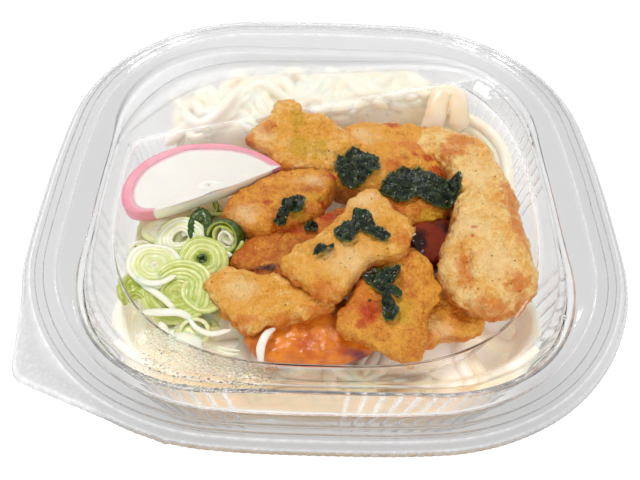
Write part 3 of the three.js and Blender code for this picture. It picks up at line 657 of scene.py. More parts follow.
# A fried piece: its outline seen from above, its heights over and under that outline, its place, how
# far towards orange its batter is, and ragged marks (x, y, across, deep) by colour.
FRIED_PIECES = {
    "tempura_top": dict(
        at=(7, -27, 45.5), tilt=(9, -5), up=5, down=4.5, toast=0.36,
        outline=[
            (-21, -5), (-16, 0.5), (-11, 4), (-6, 8.5), (-3, 13), (1, 18.5), (6, 22), (10, 20), (13, 15),
            (17.4, 9.5), (19, 5), (18, 0), (14, -3), (9, -4), (5, -6.5), (1, -11), (-2, -15), (-6, -16.6),
            (-9, -16), (-14, -12), (-18, -9),
        ],
        marks=dict(
            orange=[(-2, -42, 7, 3), (-12, -38, 6, 3), (22, -26, 3, 4)],
            pale=[(6, -33, 9, 6), (11, -12, 5, 4)],
        ),
    ),
    "tempura_back": dict(
        at=(-9, 22, 43.5), tilt=(24, 0), up=5.5, down=6, toast=0.3,
        outline=[
            (-18.4, 0), (-16.8, 4), (-13, 6), (-11, 8.6), (-10.2, 12.4), (-8, 15.2), (-4.6, 16), (-1.4, 14),
            (0.2, 10.6), (3, 9.4), (7, 9.2), (11, 7), (14, 4.6), (18, 2), (21, -1), (19.6, -5), (16, -8),
            (13, -11.4), (8, -13), (2, -12.4), (-4, -13), (-9, -10), (-12, -6), (-15.4, -3.4),
        ],
        marks=dict(
            orange=[(-20, 23, 3, 3), (-26, 18, 2, 4), (-16, 10, 9, 2), (6, 31, 5, 2)],
            olive=[(-10.5, 25, 2.6, 6), (-9.6, 16, 5, 4.5), (-3, 15, 5, 4)],
            pale=[(-22, 20, 5, 5)],
            red=[(-20.4, 25, 1.2, 0.9), (-17.9, 22.6, 1, 0.8)],
        ),
    ),
    "tempura_front_right": dict(
        at=(20, -43, 38), tilt=(13, 3), up=5, down=5, toast=0.8,
        outline=[
            (-8, 11), (-2, 16), (2, 19), (6, 20), (9.5, 17.6), (12, 13), (14.4, 8), (14, 4), (11, 0.6),
            (9, -3), (8.6, -9), (7, -14), (4, -16), (1, -15), (-4, -12.4), (-8, -10), (-13, -8.8), (-17, -6),
            (-16.4, -1), (-14, 3), (-11.5, 7.4),
        ],
        marks=dict(
            orange=[(12, -45, 7, 8), (8, -38, 5, 5), (20, -28, 6, 3)],
            red=[(12.6, -46, 3.4, 4), (9.6, -50, 2.4, 2)],
            olive=[(21.5, -46, 4, 5)],
            dark=[(12.4, -43.2, 1, 0.9)],
        ),
    ),
    "tempura_left": dict(
        at=(-16, -5, 39.5), tilt=(7, -4), up=5, down=6, toast=0.9,
        outline=[
            (-17, -4), (-17, 0.6), (-15, 4), (-12, 7), (-8, 9), (-2, 11.4), (4, 13), (12, 13.6), (18, 12),
            (18.6, 7), (17, 2), (14, -3.6), (10, -7), (5, -9.2), (0, -10), (-6, -10.8), (-11, -10),
            (-15, -7.6),
        ],
        marks=dict(
            red=[(-18.8, -6.9, 2.4, 1.2), (-1.4, -5.1, 2, 1), (2, 4, 3, 1.6), (-12, -15, 5, 1.2)],
            olive=[(-4, -4, 3.6, 1.8), (-9, -11, 3, 2)],
            dark=[(6, 4, 2.4, 1.6)],
            pale=[(-25, -11, 5, 4), (-6, 2, 6, 2.4)],
        ),
    ),
    "tempura_front_left": dict(
        at=(-17, -40, 36), tilt=(8, -3), up=5, down=4.5, toast=0.34,
        outline=[
            (-20, 5), (-18.6, 9), (-15, 11), (-10, 10.4), (-5, 9.4), (1, 8.6), (6, 7), (10.6, 3.6), (15, 1.4),
            (19, 0), (21, -2), (19, -4.6), (15.4, -4.8), (12, -6.6), (7.6, -6), (4, -8.4), (0, -7.6),
            (-3.4, -10.2), (-7, -9.6), (-10, -7.4), (-13.6, -4.6), (-16.6, -0.4),
        ],
        marks=dict(
            orange=[(-23, -48, 6, 2), (-12, -47.6, 8, 2.4), (-2, -45, 7, 2.6), (2, -40, 4, 3)],
            pale=[(-25, -38, 6, 4)],
        ),
    ),
    "tempura_middle": dict(
        at=(31, -1, 38.5), tilt=(6, 0), up=5, down=10.5, toast=1.0,
        outline=[
            (-13, 4), (-9.6, 7.4), (-5, 9), (1, 9.6), (7, 9), (10.4, 5.6), (12, 2), (10.8, -2.6), (8, -6),
            (3, -8.8), (-3, -10), (-7.4, -8.2), (-10, -5), (-12.4, -0.6),
        ],
        marks=dict(
            olive=[(32.7, -8.6, 4, 3)],
            orange=[(24, -6, 4, 3), (40, -3, 4, 5)],
        ),
    ),
    "tempura_behind": dict(
        at=(21, 22, 37), tilt=(2, 0), up=8, down=9.5, toast=0.6,
        outline=[
            (-28, -4), (-20, 5), (-15, 9), (-11.4, 11.8), (-7, 13), (0, 13), (6, 12), (13, 11), (18, 9),
            (21.4, 5), (22, 0), (22, -6), (21, -11), (15, -14), (9, -15), (2, -18), (-4, -20), (-14, -20),
            (-22, -13),
        ],
        marks=dict(
            red=[
                (21.9, 31, 4.6, 1.8), (29, 15.6, 1.6, 1.1), (33.6, 14.4, 2.4, 1.4), (37.4, 10.6, 4, 2.4),
                (6, 30, 2, 1),
            ],
            dark=[(3, 31.6, 3, 1.3)],
            pale=[(12.7, 24.3, 6, 4), (40, 18, 5, 5)],
            orange=[(30, 20, 9, 4), (22, 10, 6, 5)],
        ),
    ),
    "tempura_under_left": dict(
        at=(-10, -17, 35), tilt=(4, -5), up=5, down=7.5, toast=1.12,
        outline=[
            (-20, -8), (-19.4, -3), (-17, 0), (-12.6, 3.2), (-8, 5), (-1, 7.2), (6, 9), (12, 11.4), (18, 13),
            (22.6, 10.6), (24, 6), (24, 0), (23, -6), (21.4, -12), (18, -17), (11, -18), (4, -18), (-4, -16),
            (-12, -13), (-17, -11),
        ],
        marks=dict(
            red=[(-11, -14.6, 6, 1.6), (-1, -9, 5, 1.8)],
            dark=[(-18, -28, 5, 1.6)],
            orange=[(-4, -14, 12, 5)],
        ),
    ),
    "tempura_low_right": dict(
        at=(35, -43, 31), tilt=(6, 0), up=4.5, down=3.6, toast=0.55,
        outline=[
            (-12, 4), (-9, 8), (-5, 11), (2, 16), (6, 17), (10, 16), (13, 11.6), (13.4, 6), (12, -1), (9, -4),
            (5, -5.4), (0, -6), (-5, -8), (-9, -7.6), (-11, -5), (-12.4, -1),
        ],
        marks=dict(
            orange=[(40, -41, 4, 6), (28, -49, 5, 3)],
            pale=[(33, -46, 6, 4)],
        ),
    ),
}
SOFT_PIECES = {
    "eggplant": dict(
        at=(33, -16, 35), tilt=(14, 0), up=5, down=7.5, toast=0.0,
        outline=[
            (-9, 2), (-6.6, 6), (-3, 8), (1, 9), (5, 9), (8.2, 6), (9, 2), (8, -3), (5, -7), (0, -9),
            (-4, -9), (-7.6, -4.4),
        ],
    ),
    "sweet_potato": dict(
        at=(-5, -50, 31), tilt=(6, 0), up=3.2, down=3.2, toast=0.0,
        outline=[
            (-19, 1), (-16.6, 4.8), (-13, 7), (-7, 10.4), (0, 13), (6, 14.4), (12, 14), (18, 9.4), (21, 3),
            (19, -2.4), (15, -5), (10, -6.6), (4, -7), (-3, -7.4), (-9, -7), (-13, -6.2), (-16, -4),
            (-18.4, -1.4),
        ],
        marks=dict(
            red=[(-20, -48, 3, 2), (12, -54.6, 9, 1.4)],
        ),
    ),
}
# The long piece has its widths and heights along a path instead, and dents among its marks.
LONG_PIECE = dict(
    path=[
        (28, 25, 40), (36, 23.5, 41.5), (43, 19, 42.5), (47.5, 11, 43), (49.5, 2, 43), (50, -8, 43),
        (49.5, -17, 43), (48, -27, 43), (46.5, -36, 42), (44, -44, 40),
    ],
    width=[4, 7.5, 8.5, 8.5, 8.5, 9.5, 11.5, 13.5, 13.5, 9],
    up=[3, 5, 6, 6.5, 7, 7, 8, 8.5, 8, 6],
    down=[8, 12, 14, 14, 14, 14, 14, 14, 13, 9],
    toast=0.05,
    marks=dict(
        orange=[
            (57, -8, 4, 10), (57, -20, 3, 8), (39.6, -36, 3, 8), (46, -46, 10, 3), (44, 19, 7, 5),
            (40, 14, 5, 5), (54, -40, 5, 5),
        ],
        pale=[(43, -20, 6, 7), (48, -34, 6, 6), (47, 2, 4, 8)],
        red=[(43.7, -21.2, 1.3, 1), (42.6, -25, 1, 1)],
        dent=[(40.5, -37, 1.4, 7), (38, -28, 3, 1.6), (47, -16, 5, 1.4), (50, 12, 1.6, 6), (53, -27, 1.4, 5)],
    ),
)
LUMP_FULLNESS = 0.36
LUMP_CROWN = 0.72
LUMP_SIDES = 190
LUMP_ROWS = 64
LONG_SIDES = 96
LONG_STEPS = 150
FRIED_SEED = 20
LONG_SEED = 77
SOFT_SEED = 90
LONG_RELIEF = 1.25
SOFT_RELIEF = 0.3


def lump_profile(wide, up, down):
    """Shares of the reach and of the height, from the top down, evenly parted along a lump's side."""
    fall = np.linspace(0, math.pi, 1201)
    share = np.sin(fall) ** LUMP_FULLNESS
    lift = signed_power(np.cos(fall), LUMP_CROWN)
    share[[0, -1]] = 0
    height = np.where(lift > 0, up, down) * lift
    even = even_path(np.column_stack([wide * share, height]), LUMP_ROWS + 2)[1:-1]
    return even[:, 0] / wide, even[:, 1]


def signed_power(values, power):
    return np.sign(values) * np.abs(values) ** power


def grid_normals(rings):
    """The outward direction at each point of a closed body of rings from the top down."""
    around = np.roll(rings, -1, axis=1) - np.roll(rings, 1, axis=1)
    down = np.gradient(rings, axis=0)
    normal = np.cross(down, around)
    return normal / np.maximum(1e-9, np.linalg.norm(normal, axis=2))[:, :, None]


def fried_skin(shape, rings, rim, seed, relief, toast, marks):
    """Adds a body of rings with the lumps, blisters and coloured patches of fried batter."""
    flat = rings.reshape(-1, 3)
    slow = layered_noise(flat, 9.0, 2, seed)
    blisters = np.abs(layered_noise(flat, 3.1, 2, seed + 5))
    pimples = np.maximum(0, layered_noise(flat, 1.5, 2, seed + 8)) * (0.4 + rim.ravel())
    dents = mark_strength(flat, marks.get("dent", []), seed + 9)
    height = relief * (0.8 * slow + 0.5 - 0.85 * blisters + 0.35 * pimples) - 1.7 * dents
    rings = rings + grid_normals(rings) * height.reshape(rim.shape)[:, :, None]
    flat = rings.reshape(-1, 3)
    values = {"rim": rim[::-1]}
    for kind in ("orange", "olive", "red", "dark", "pale"):
        values[kind] = mark_strength(flat, marks.get(kind, []), seed + 9).reshape(rim.shape)[::-1]
    add_rings(shape, rings[::-1], toast=toast, **values)


def lump_rings(piece, seed):
    """Rings of a rounded lump with a frilled edge, and how near its rim each point is."""
    edge = closed_curve(piece["outline"], LUMP_SIDES)
    far = np.linalg.norm(edge, axis=1)
    on_edge = np.column_stack([edge + np.array(piece["at"][:2]), np.full(LUMP_SIDES, float(seed))])
    frill = 0.55 * layered_noise(on_edge, 4.2, 3, seed + 3)
    shares, heights = lump_profile(far.mean(), piece["up"], piece["down"])
    near_rim = smoothstep(shares, 0.5, 1.0)[:, None]
    reach = shares[:, None] * (1 + near_rim * (frill / far))
    droop = -0.5 * near_rim * layered_noise(on_edge, 6.0, 2, seed + 6) * (heights[:, None] > 0)
    level = heights[:, None] + droop
    rings = np.concatenate([edge * reach[:, :, None], level[:, :, None]], axis=2)
    rim = np.repeat(1 - smoothstep(heights / piece["up"], 0.15, 0.85), LUMP_SIDES)
    return placed(rings, piece["at"], piece["tilt"]), rim.reshape(LUMP_ROWS, LUMP_SIDES)


def long_rings(piece):
    """Rings of the long piece along its path, and how near its lower edge each point is."""
    line = smooth_path(piece["path"], LONG_STEPS)
    share = np.linspace(0, 1, LONG_STEPS)
    end = 0.25 + 0.75 * np.sqrt(np.clip(1 - (np.abs(2 * share - 1) ** 14), 0, 1))
    stops = np.linspace(0, 1, len(piece["width"]))
    wide, high, low = (
        (np.interp(share, stops, piece[key]) * end)[:, None] for key in ("width", "up", "down")
    )
    along = unit(np.gradient(line, axis=0))
    sideways = unit(np.column_stack([-along[:, 1], along[:, 0], np.zeros(LONG_STEPS)]))
    upwards = np.cross(along, sideways)
    turn = -np.arange(LONG_SIDES) * TAU / LONG_SIDES
    across = signed_power(np.cos(turn), 0.75)
    rise = signed_power(np.sin(turn), 0.8)
    side = np.tile(9.0 * np.sign(np.cos(turn)), LONG_STEPS)
    by_side = np.column_stack([np.repeat(line[:, :2], LONG_SIDES, axis=0), side])
    wide = wide + 1.1 * layered_noise(by_side, 7.0, 3, 31).reshape(LONG_STEPS, LONG_SIDES)
    height = rise * np.where(np.sin(turn) > 0, high, low)
    out = sideways[:, None] * (wide * across)[:, :, None]
    rings = line[:, None] + out + upwards[:, None] * height[:, :, None]
    return rings, 1 - smoothstep(height / high, 0.1, 0.8)


def fried_piece(node, name, piece, material, seed, relief=1.0):
    rings, rim = long_rings(piece) if "path" in piece else lump_rings(piece, seed)
    shape = Shape()
    fried_skin(shape, rings, rim, seed, relief, piece["toast"], piece.get("marks", {}))
    return make_piece(name, shape, material, node)


# ---- Fish cake: a half round with a pink skin round its arched side ----

FISH_CAKE_PLACE = ((-42, 3, 42.5), (17, 2))
FISH_CAKE_HALF = 3.2
FISH_CAKE_OUTLINE = [
    (-16, -13.5), (-21.5, -12.5), (-23.5, -7), (-21.5, 0.5), (-15, 7), (-5, 11.3), (7, 12.5), (18, 10.5),
    (26, 6), (24.5, 4), (9, -4.3), (-5, -10.2),
]
FISH_CAKE_FOLD = (4, -3)


def fish_cake_edges():
    """The slice's outline, its spokes from the fold, and how thick the pink skin is at each."""
    outline = closed_curve(FISH_CAKE_OUTLINE, 220)
    spoke = outline - FISH_CAKE_FOLD
    over_top = smoothstep(spoke[:, 1] - 0.42 * spoke[:, 0], -2.5, 1)
    on_arch = np.maximum(over_top, smoothstep(-spoke[:, 0], 16.5, 20))
    thick = 2.2 + 1.4 * smoothstep(-spoke[:, 0], 8, 22)
    return outline, unit(spoke), on_arch, thick * on_arch


def fish_cake_dome(flat):
    """How far the slice's upper face swells at each [x, y]."""
    x, y = flat.T
    return 0.25 * np.cos(0.11 * x) + 0.12 * np.sin(0.4 * x + 0.3 * y)


def fish_cake_body(material):
    outline, spoke, on_arch, thick = fish_cake_edges()
    edge = outline - spoke * (thick + 0.04)[:, None]
    inward = np.linalg.norm(edge - FISH_CAKE_FOLD, axis=1)
    half = FISH_CAKE_HALF
    round_off = 0.7 * (1 - on_arch)
    # From the bottom up: inset, height, how far the pink bleeds in, and 1 on the side or 0 on the top.
    steps = [
        (0.4, -half, 1.0, 1.0),
        (0.0, 0.5 - half, 1.0, 1.0),
        (0.0, 0.0, 1.0, 1.0),
        (0.0, half - round_off - 0.01, 1.0, 0.6),
        (0.35 * round_off, half - 0.3 * round_off, 1.0, 0.2),
    ]
    for depth in (0.18, 0.4, 0.7, 1.1, 1.6, 2.4, 3.4):
        steps.append((np.maximum(depth, round_off), half, 1 - smoothstep(depth, 0.0, 1.7), 0.0))
    for share in (0.7, 0.45, 0.2):
        steps.append(((inward - 4.2) * (1 - share) + 4.2, half, 0.0, 0.0))
    rings = []
    for inset, height, _, side in steps:
        flat = edge - spoke * np.broadcast_to(inset, len(edge))[:, None]
        level = height + fish_cake_dome(flat) * (side == 0)
        rings.append(placed(np.column_stack(np.broadcast_arrays(*flat.T, level)), *FISH_CAKE_PLACE))
    bleeds = [bleed * on_arch for _, _, bleed, _ in steps]
    sides = [np.full(len(edge), side) for _, _, _, side in steps]
    centres = placed([(*FISH_CAKE_FOLD, -half), (*FISH_CAKE_FOLD, half + 0.25)], *FISH_CAKE_PLACE)
    shape = Shape()
    add_rings(shape, rings, centres, bleed=bleeds, side=sides)
    return make_piece("fish_cake_white", shape, material, "fish_cake_body")


def fish_cake_skin(material):
    outline, spoke, _, thick = fish_cake_edges()
    kept = np.flatnonzero(thick > 0.25)
    first = kept[np.argmax(np.diff(np.concatenate([[kept[-1] - len(outline)], kept])))]
    order = (first + np.arange(len(kept))) % len(outline)
    half = FISH_CAKE_HALF
    # Shares of the skin's thickness, from outside in, and heights.
    profile = [
        (1.0, half), (0.75, half), (0.5, half), (0.25, half), (0.08, half - 0.12), (0.0, half - 0.6),
        (0.0, 0.0), (0.0, 0.6 - half), (0.08, 0.12 - half), (0.5, -half), (1.0, -half), (1.0, 0.0),
    ]
    shares, heights = np.array(profile).T
    rings = []
    for index in order[::-1]:
        flat = outline[index] - np.outer(shares, spoke[index] * thick[index])
        level = heights + fish_cake_dome(flat) * (heights > 2)
        rings.append(placed(np.column_stack([flat, level]), *FISH_CAKE_PLACE))
    shape = Shape()
    add_rings(shape, rings, bleed=np.tile(shares, (len(rings), 1)))
    return make_piece("fish_cake_pink", shape, material, "fish_cake_skin")


# ---- Spring onion ----


def sway(turn, seed, *strengths):
    """How much a ring bulges at each angle, by the strengths of 2, 3 and 5 bulges round it."""
    bulges = (np.sin(2 * turn + seed), np.sin(3 * turn + 2.1 * seed), np.sin(5 * turn + seed))
    return 1 + sum(strength * bulge for strength, bulge in zip(strengths, bulges))


def add_onion_ring(shape, at, tilt, radius, wall, height, green, sweep, start, seed):
    """A ring, or part of one, of one layer of onion."""
    count = max(10, int(44 * sweep / TAU))
    turn = start + np.linspace(0, sweep, count, endpoint=sweep < TAU)
    wave = 0.18 * np.sin(2 * turn + 1.7 * seed)
    bulge = sway(turn, seed, 0.05, 0.03)
    half, inner = height / 2, radius - wall
    profile = [
        (radius - 0.12, half), (inner + 0.08, half), (inner, half - 0.08), (inner, 0.1 - half),
        (inner + 0.08, -half), (radius - 0.12, -half), (radius, 0.12 - half), (radius + 0.05, 0),
        (radius, half - 0.12),
    ]
    rings = [placed(polar(turn, reach * bulge, level + wave), at, tilt) for reach, level in profile]
    greens = [np.full(count, green * (1.0 if reach > radius - 0.2 else 0.55)) for reach, _ in profile]
    join = add_rings if sweep < TAU else add_loop
    join(shape, np.transpose(rings, (1, 0, 2)), green=np.transpose(greens))


def add_onion_slice(shape, at, tilt, radius, height, greens, bore, stretch, seed):
    """A cut slice of onion: layers one in another, the outermost first, parted by fine grooves."""
    half, wall = height / 2, (radius - bore) / len(greens)
    groove = min(0.2, 0.2 * wall)
    outside = [(radius - 0.3, -half), (radius, 0.3 - half), (radius, half - 0.25)]
    profile = [(reach, level, greens[0]) for reach, level in outside]
    for index, green in enumerate(greens):
        outer = radius - index * wall
        level = half + 0.1 * math.sin(2.3 * index + seed)
        next_green = greens[min(index + 1, len(greens) - 1)]
        profile += [
            (outer - groove, level, green), (outer - wall / 2, level + 0.08, green),
            (outer - wall + groove / 2, level, green),
            (outer - wall, half - 0.18, 0.5 * (green + next_green) + 0.08),
        ]
    if bore:
        profile.append((bore, -half, greens[-1]))
    else:
        profile = [(0.4, -half, greens[0])] + profile[:-1]
    turn = np.arange(52) * TAU / 52
    wave = 0.45 * np.sin(2 * turn + 1.7 * seed)
    bulge = sway(turn, seed, 0.06, 0.04, 0.02)
    rings = []
    for reach, level, _ in profile:
        ring = polar(turn, reach * bulge, level + wave)
        rings.append(placed(ring * (stretch, 1, 1), at, tilt))
    tones = [np.full(len(turn), green) for _, _, green in profile]
    if bore:
        add_loop(shape, rings, green=tones)
    else:
        add_rings(shape, rings, placed([(0, 0, -half), (0, 0, half)], at, tilt), green=tones)


def add_ribbon(shape, knots, width, thickness, green):
    """A soft strip of onion along a path."""
    share = np.linspace(0.0, 1.0, 22)
    taper = 0.55 + 0.45 * np.sin(math.pi * np.clip(share, 0.06, 0.94)) ** 0.5
    add_strand(shape, smooth_path(knots, 22), width / 2 * taper, 10, thickness / width, green=green)


ONION_BED = [
    (-62, -24), (-61, -38), (-54, -46), (-45, -50), (-36, -50), (-28, -42), (-27, -24), (-30, -8), (-38, 0),
    (-50, -4), (-60, -12),
]
SCATTERED_RINGS = 90
ONION_HEROES = [
    # at, tilt, radius, height, layers' greens, bore, stretch
    ((-52.8, -27.0, 35.6), (6, 3), 8.0, 1.5, (0.04, 0.22, 0.28, 0.22, 0.26, 0.14), 0.0, 1.08),
    (
        (-38.4, -24.0, 35.8), (10, -6), 7.6, 1.6,
        (0.5, 0.34, 0.48, 0.3, 0.46, 0.34, 0.58, 0.74, 0.95), 0.8, 1.12,
    ),
    ((-44.6, -35.6, 34.6), (12, -6), 10.0, 1.4, (0.42, 0.5, 0.43, 0.51, 0.44, 0.5, 0.46, 0.48), 0.0, 1.14),
    ((-59.0, -33.5, 33.4), (8, -12), 5.0, 1.3, (0.5, 0.62, 0.5, 0.58), 0.0, 1.0),
    ((-46.6, -14.6, 34.6), (20, -10), 7.0, 1.6, (0.2, 0.04, 0.22, 0.06, 0.14), 2.0, 1.2),
    ((-52.4, -11.6, 33.2), (12, 8), 5.4, 1.6, (0.2, 0.1), 1.4, 1.2),
    ((-36.6, -36.6, 34.4), (-6, 10), 6.4, 1.2, (0.4, 0.5, 0.42, 0.52, 0.46), 0.0, 1.1),
]
ONION_BULB = ((-45.4, -50.2, 31.0), (-42.5, -51.2, 31.8), (-39, -51.8, 31.8), (-35.6, -52.2, 31.0))
GREEN_CURLS = [
    # at, tilt, radius, wall, height, start and end of the turn in degrees, green
    ((-31.8, -15.4, 37.2), (52, -24), 5.6, 0.9, 5.2, 0, 360, 1.0),
    ((-31.4, -16.0, 37.2), (54, -24), 4.3, 0.7, 4.4, 30, 330, 0.7),
    ((-31.0, -16.6, 37.2), (56, -24), 2.9, 0.7, 4.0, 0, 300, 0.12),
    ((-57.6, -16.2, 33.8), (34, 6), 3.6, 0.8, 2.2, 200, 350, 0.66),
    ((-39.0, -1.8, 35.2), (60, 10), 3.4, 0.7, 3.0, 150, 400, 0.86),
    ((-33.6, 0.6, 36.0), (66, -14), 3.8, 0.7, 3.2, 160, 380, 0.9),
    ((-57.6, -38.6, 33.4), (30, 30), 3.0, 0.8, 2.4, 20, 210, 0.7),
]
ONION_RIBBONS = [
    # knots, width, thickness, green
    (((-62.8, -21.4, 34.2), (-57, -19.6, 35.0), (-51, -20.4, 35.2), (-46.5, -22.6, 34.8)), 3.2, 1.3, 0.02),
    (
        ((-56.2, -33.0, 35.0), (-51.5, -36.4, 35.6), (-47.6, -39.2, 35.0), (-44.6, -42.0, 34.0)),
        2.4, 1.3, 0.05,
    ),
    (((-54.6, -42.4, 33.4), (-49, -43.2, 34.8), (-43, -43.4, 35.0), (-39.0, -45.2, 34.4)), 2.9, 1.4, 0.02),
    (((-40.5, -44.4, 34.6), (-37.5, -48.2, 34.4), (-33, -49.8, 34.2), (-27.6, -48.2, 34.0)), 1.9, 1.2, 0.0),
    (((-49.0, -45.0, 32.6), (-46.8, -48.0, 32.6), (-44.4, -50.6, 31.6)), 2.4, 1.3, 0.05),
    (((-32.0, -51.6, 30.6), (-28.4, -53.0, 31.2), (-24.8, -53.0, 30.4)), 0.8, 0.6, 0.0),
    (((-31.4, -52.8, 30.2), (-28.0, -54.2, 30.6), (-25.2, -54.0, 30.2)), 0.7, 0.5, 0.0),
    (((-46, -5.5, 34.4), (-41, -4.2, 35.2), (-35.5, -4.8, 35.4), (-30.6, -3.6, 35.4)), 1.6, 1.0, 0.5),
    (((-60.5, -27.5, 33.4), (-59.0, -32.5, 33.6), (-54.2, -38.0, 33.4)), 2.8, 1.2, 0.6),
    (
        (
            (-43.0, -15.5, 35.6), (-42.6, -10.0, 38.0), (-40.4, -6.8, 39.0), (-38.2, -9.6, 38.6),
            (-37.2, -17.0, 36.4),
        ),
        3.2, 1.2, 1.0,
    ),
    (((-58.6, -30.4, 35.4), (-54.6, -33.6, 36.6), (-50.0, -34.0, 36.9), (-45.6, -31.0, 36.6)), 2.2, 0.9, 0.0),
]


def onion_core():
    """The CAD heap itself, finer, rounder and a little lower, for the slices to lie on."""
    bed = bpy.data.objects.new("onion_bed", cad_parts["spring_onion"].data.copy())
    bpy.context.scene.collection.objects.link(bed)
    remesh = bed.modifiers.new("even", "REMESH")
    remesh.mode = "VOXEL"
    remesh.voxel_size = 0.8 * MM
    soften = bed.modifiers.new("soft", "SMOOTH")
    soften.factor = 0.5
    soften.iterations = 14
    fine = bpy.data.meshes.new_from_object(bed.evaluated_get(bpy.context.evaluated_depsgraph_get()))
    points, faces = read_mesh(fine)
    bpy.data.meshes.remove(fine)
    bpy.data.meshes.remove(bed.data)
    points[:, 2] -= 1.6 * smoothstep(points[:, 2], 27, 34)
    return points, faces


def scatter_rings(shape, points, faces, random):
    """Drops small rings and parts of rings on the heap."""
    tree = BVHTree.FromPolygons(points.tolist(), faces)
    outline = closed_curve(ONION_BED, 60)
    middle = outline.mean(axis=0)
    for index in range(SCATTERED_RINGS):
        edge = outline[random.integers(len(outline))]
        x, y = middle + (edge - middle) * random.uniform(0, 1) ** 0.5
        spot = tree.ray_cast((x, y, 60), (0, 0, -1))[0]
        if spot is None:
            continue
        at = (x, y, spot.z + random.uniform(-0.8, 0.1))
        tilt = (random.uniform(-25, 40), random.uniform(-30, 30))
        green = random.choice([0.02, 0.1, 0.3, 0.5, 0.7], p=[0.22, 0.16, 0.3, 0.24, 0.08])
        sweep = random.choice([TAU, random.uniform(1.0, 2.8)], p=[0.1, 0.9])
        radius, wall, height = random.uniform(2.4, 5.6), random.uniform(0.9, 1.6), random.uniform(0.9, 1.8)
        start = random.uniform(0, TAU)
        add_onion_ring(shape, at, tilt, radius, wall, height, green, sweep, start, 10 + index)


def spring_onion(material):
    points, faces = onion_core()
    shape = Shape()
    quads = np.array([face for face in faces if len(face) == 4])
    shape.add(points, quads, green=0.24 + 0.1 * layered_noise(points, 5.0, 2, 3))
    for index, (*place_and_size, stretch) in enumerate(ONION_HEROES):
        add_onion_slice(shape, *place_and_size, stretch, seed=3 + index)
    for index, (at, tilt, radius, wall, height, start, end, green) in enumerate(GREEN_CURLS):
        start, sweep = math.radians(start), math.radians(end - start)
        add_onion_ring(shape, at, tilt, radius, wall, height, green, sweep, start, 2 + index)
    for ribbon in ONION_RIBBONS:
        add_ribbon(shape, *ribbon)
    thickness = 3.1 * np.sin(np.linspace(0.35, 2.8, 24)) ** 0.5
    add_strand(shape, smooth_path(ONION_BULB, 24), thickness, 16, 0.85, green=0.03)
    scatter_rings(shape, points, faces, np.random.default_rng(5))
    return make_piece("spring_onion_slices", shape, material, "spring_onion")


# ---- Seaweed and the white shred ----

SEAWEED_LEAVES = {
    "seaweed_back": [
        (2.5, 8.5), (3.5, 11.7), (5.5, 14), (8.8, 16.2), (11.2, 15.4), (12, 13.4), (14.2, 14.8), (16.6, 13.4),
        (17.2, 10.4), (15.9, 7.1), (12.7, 4.4), (9.8, 1.8), (6.8, 2.4), (3.9, 5.6),
    ],
    "seaweed_right": [
        (17.6, 2.2), (20, 6), (26, 8.2), (31.4, 8.6), (35, 7), (38.6, 3.6), (41.6, 3), (42.4, 0), (41.4, -4),
        (38, -7), (34.4, -6.6), (29.5, -3.2), (25.6, -4), (21.6, -4), (18.2, -1),
    ],
    "seaweed_top": [
        (1.8, -24.6), (4.2, -21.5), (6.2, -21), (7.4, -17.9), (11.3, -17.5), (12.8, -19.6), (15.1, -22.9),
        (17.9, -26), (16.4, -27.6), (12.9, -26.3), (10.6, -24.8), (8.9, -24), (7.7, -27), (6.2, -28.2),
        (4.2, -27.7),
    ],
    "seaweed_top_small": [(-4.5, -32.5), (-3.1, -30.4), (-0.5, -28.6), (1.6, -30.2), (-1.6, -31.8)],
    "seaweed_left": [
        (-16.6, -14.6), (-15.1, -11.6), (-13.7, -6.8), (-9.7, -5.4), (-6.8, -6.1), (-8.3, -10.1),
        (-11.9, -12.8), (-13, -14.4), (-15, -15.6),
    ],
    "seaweed_left_small": [(-7.2, -14.4), (-5.6, -12.6), (-3, -13), (-3, -15.4), (-4.9, -15.8)],
    "seaweed_front": [
        (10.1, -36.1), (14.4, -33.2), (17.6, -32.9), (21.2, -33.3), (20.7, -35.8), (18, -38.6), (21.1, -39.9),
        (21, -42.6), (18.8, -41.8), (18, -44.3), (21, -46.6), (18.6, -49.5), (16.3, -49.7), (15.6, -45.5),
        (15, -41.1), (11.9, -38.8),
    ],
}
LEAF_THICKNESS = 0.5
LEAF_SIDES = 110
LEAF_ROWS = 18
LEAF_SEED = 60
SHRED_PATH = [(-14.5, -48.5, 36), (-17, -51.5, 37.2), (-18.4, -55.5, 36.4), (-18.2, -59, 33.6)]


def resting_heights(flat, hosts):
    """How high the fried pieces reach under each [x, y], evened out where a leaf would hang over an edge."""
    heights = []
    for x, y in flat:
        spots = [tree.ray_cast((x, y, 80), (0, 0, -1))[0] for tree in hosts]
        heights.append(max((spot.z for spot in spots if spot is not None), default=0.0))
    middle = np.median(heights)
    heights = np.clip(heights, middle - 3.0, middle + 5.0).reshape(LEAF_ROWS, LEAF_SIDES)
    for _ in range(2):
        heights = np.maximum(heights, (np.roll(heights, 1, 1) + np.roll(heights, -1, 1)) / 2)
    return heights


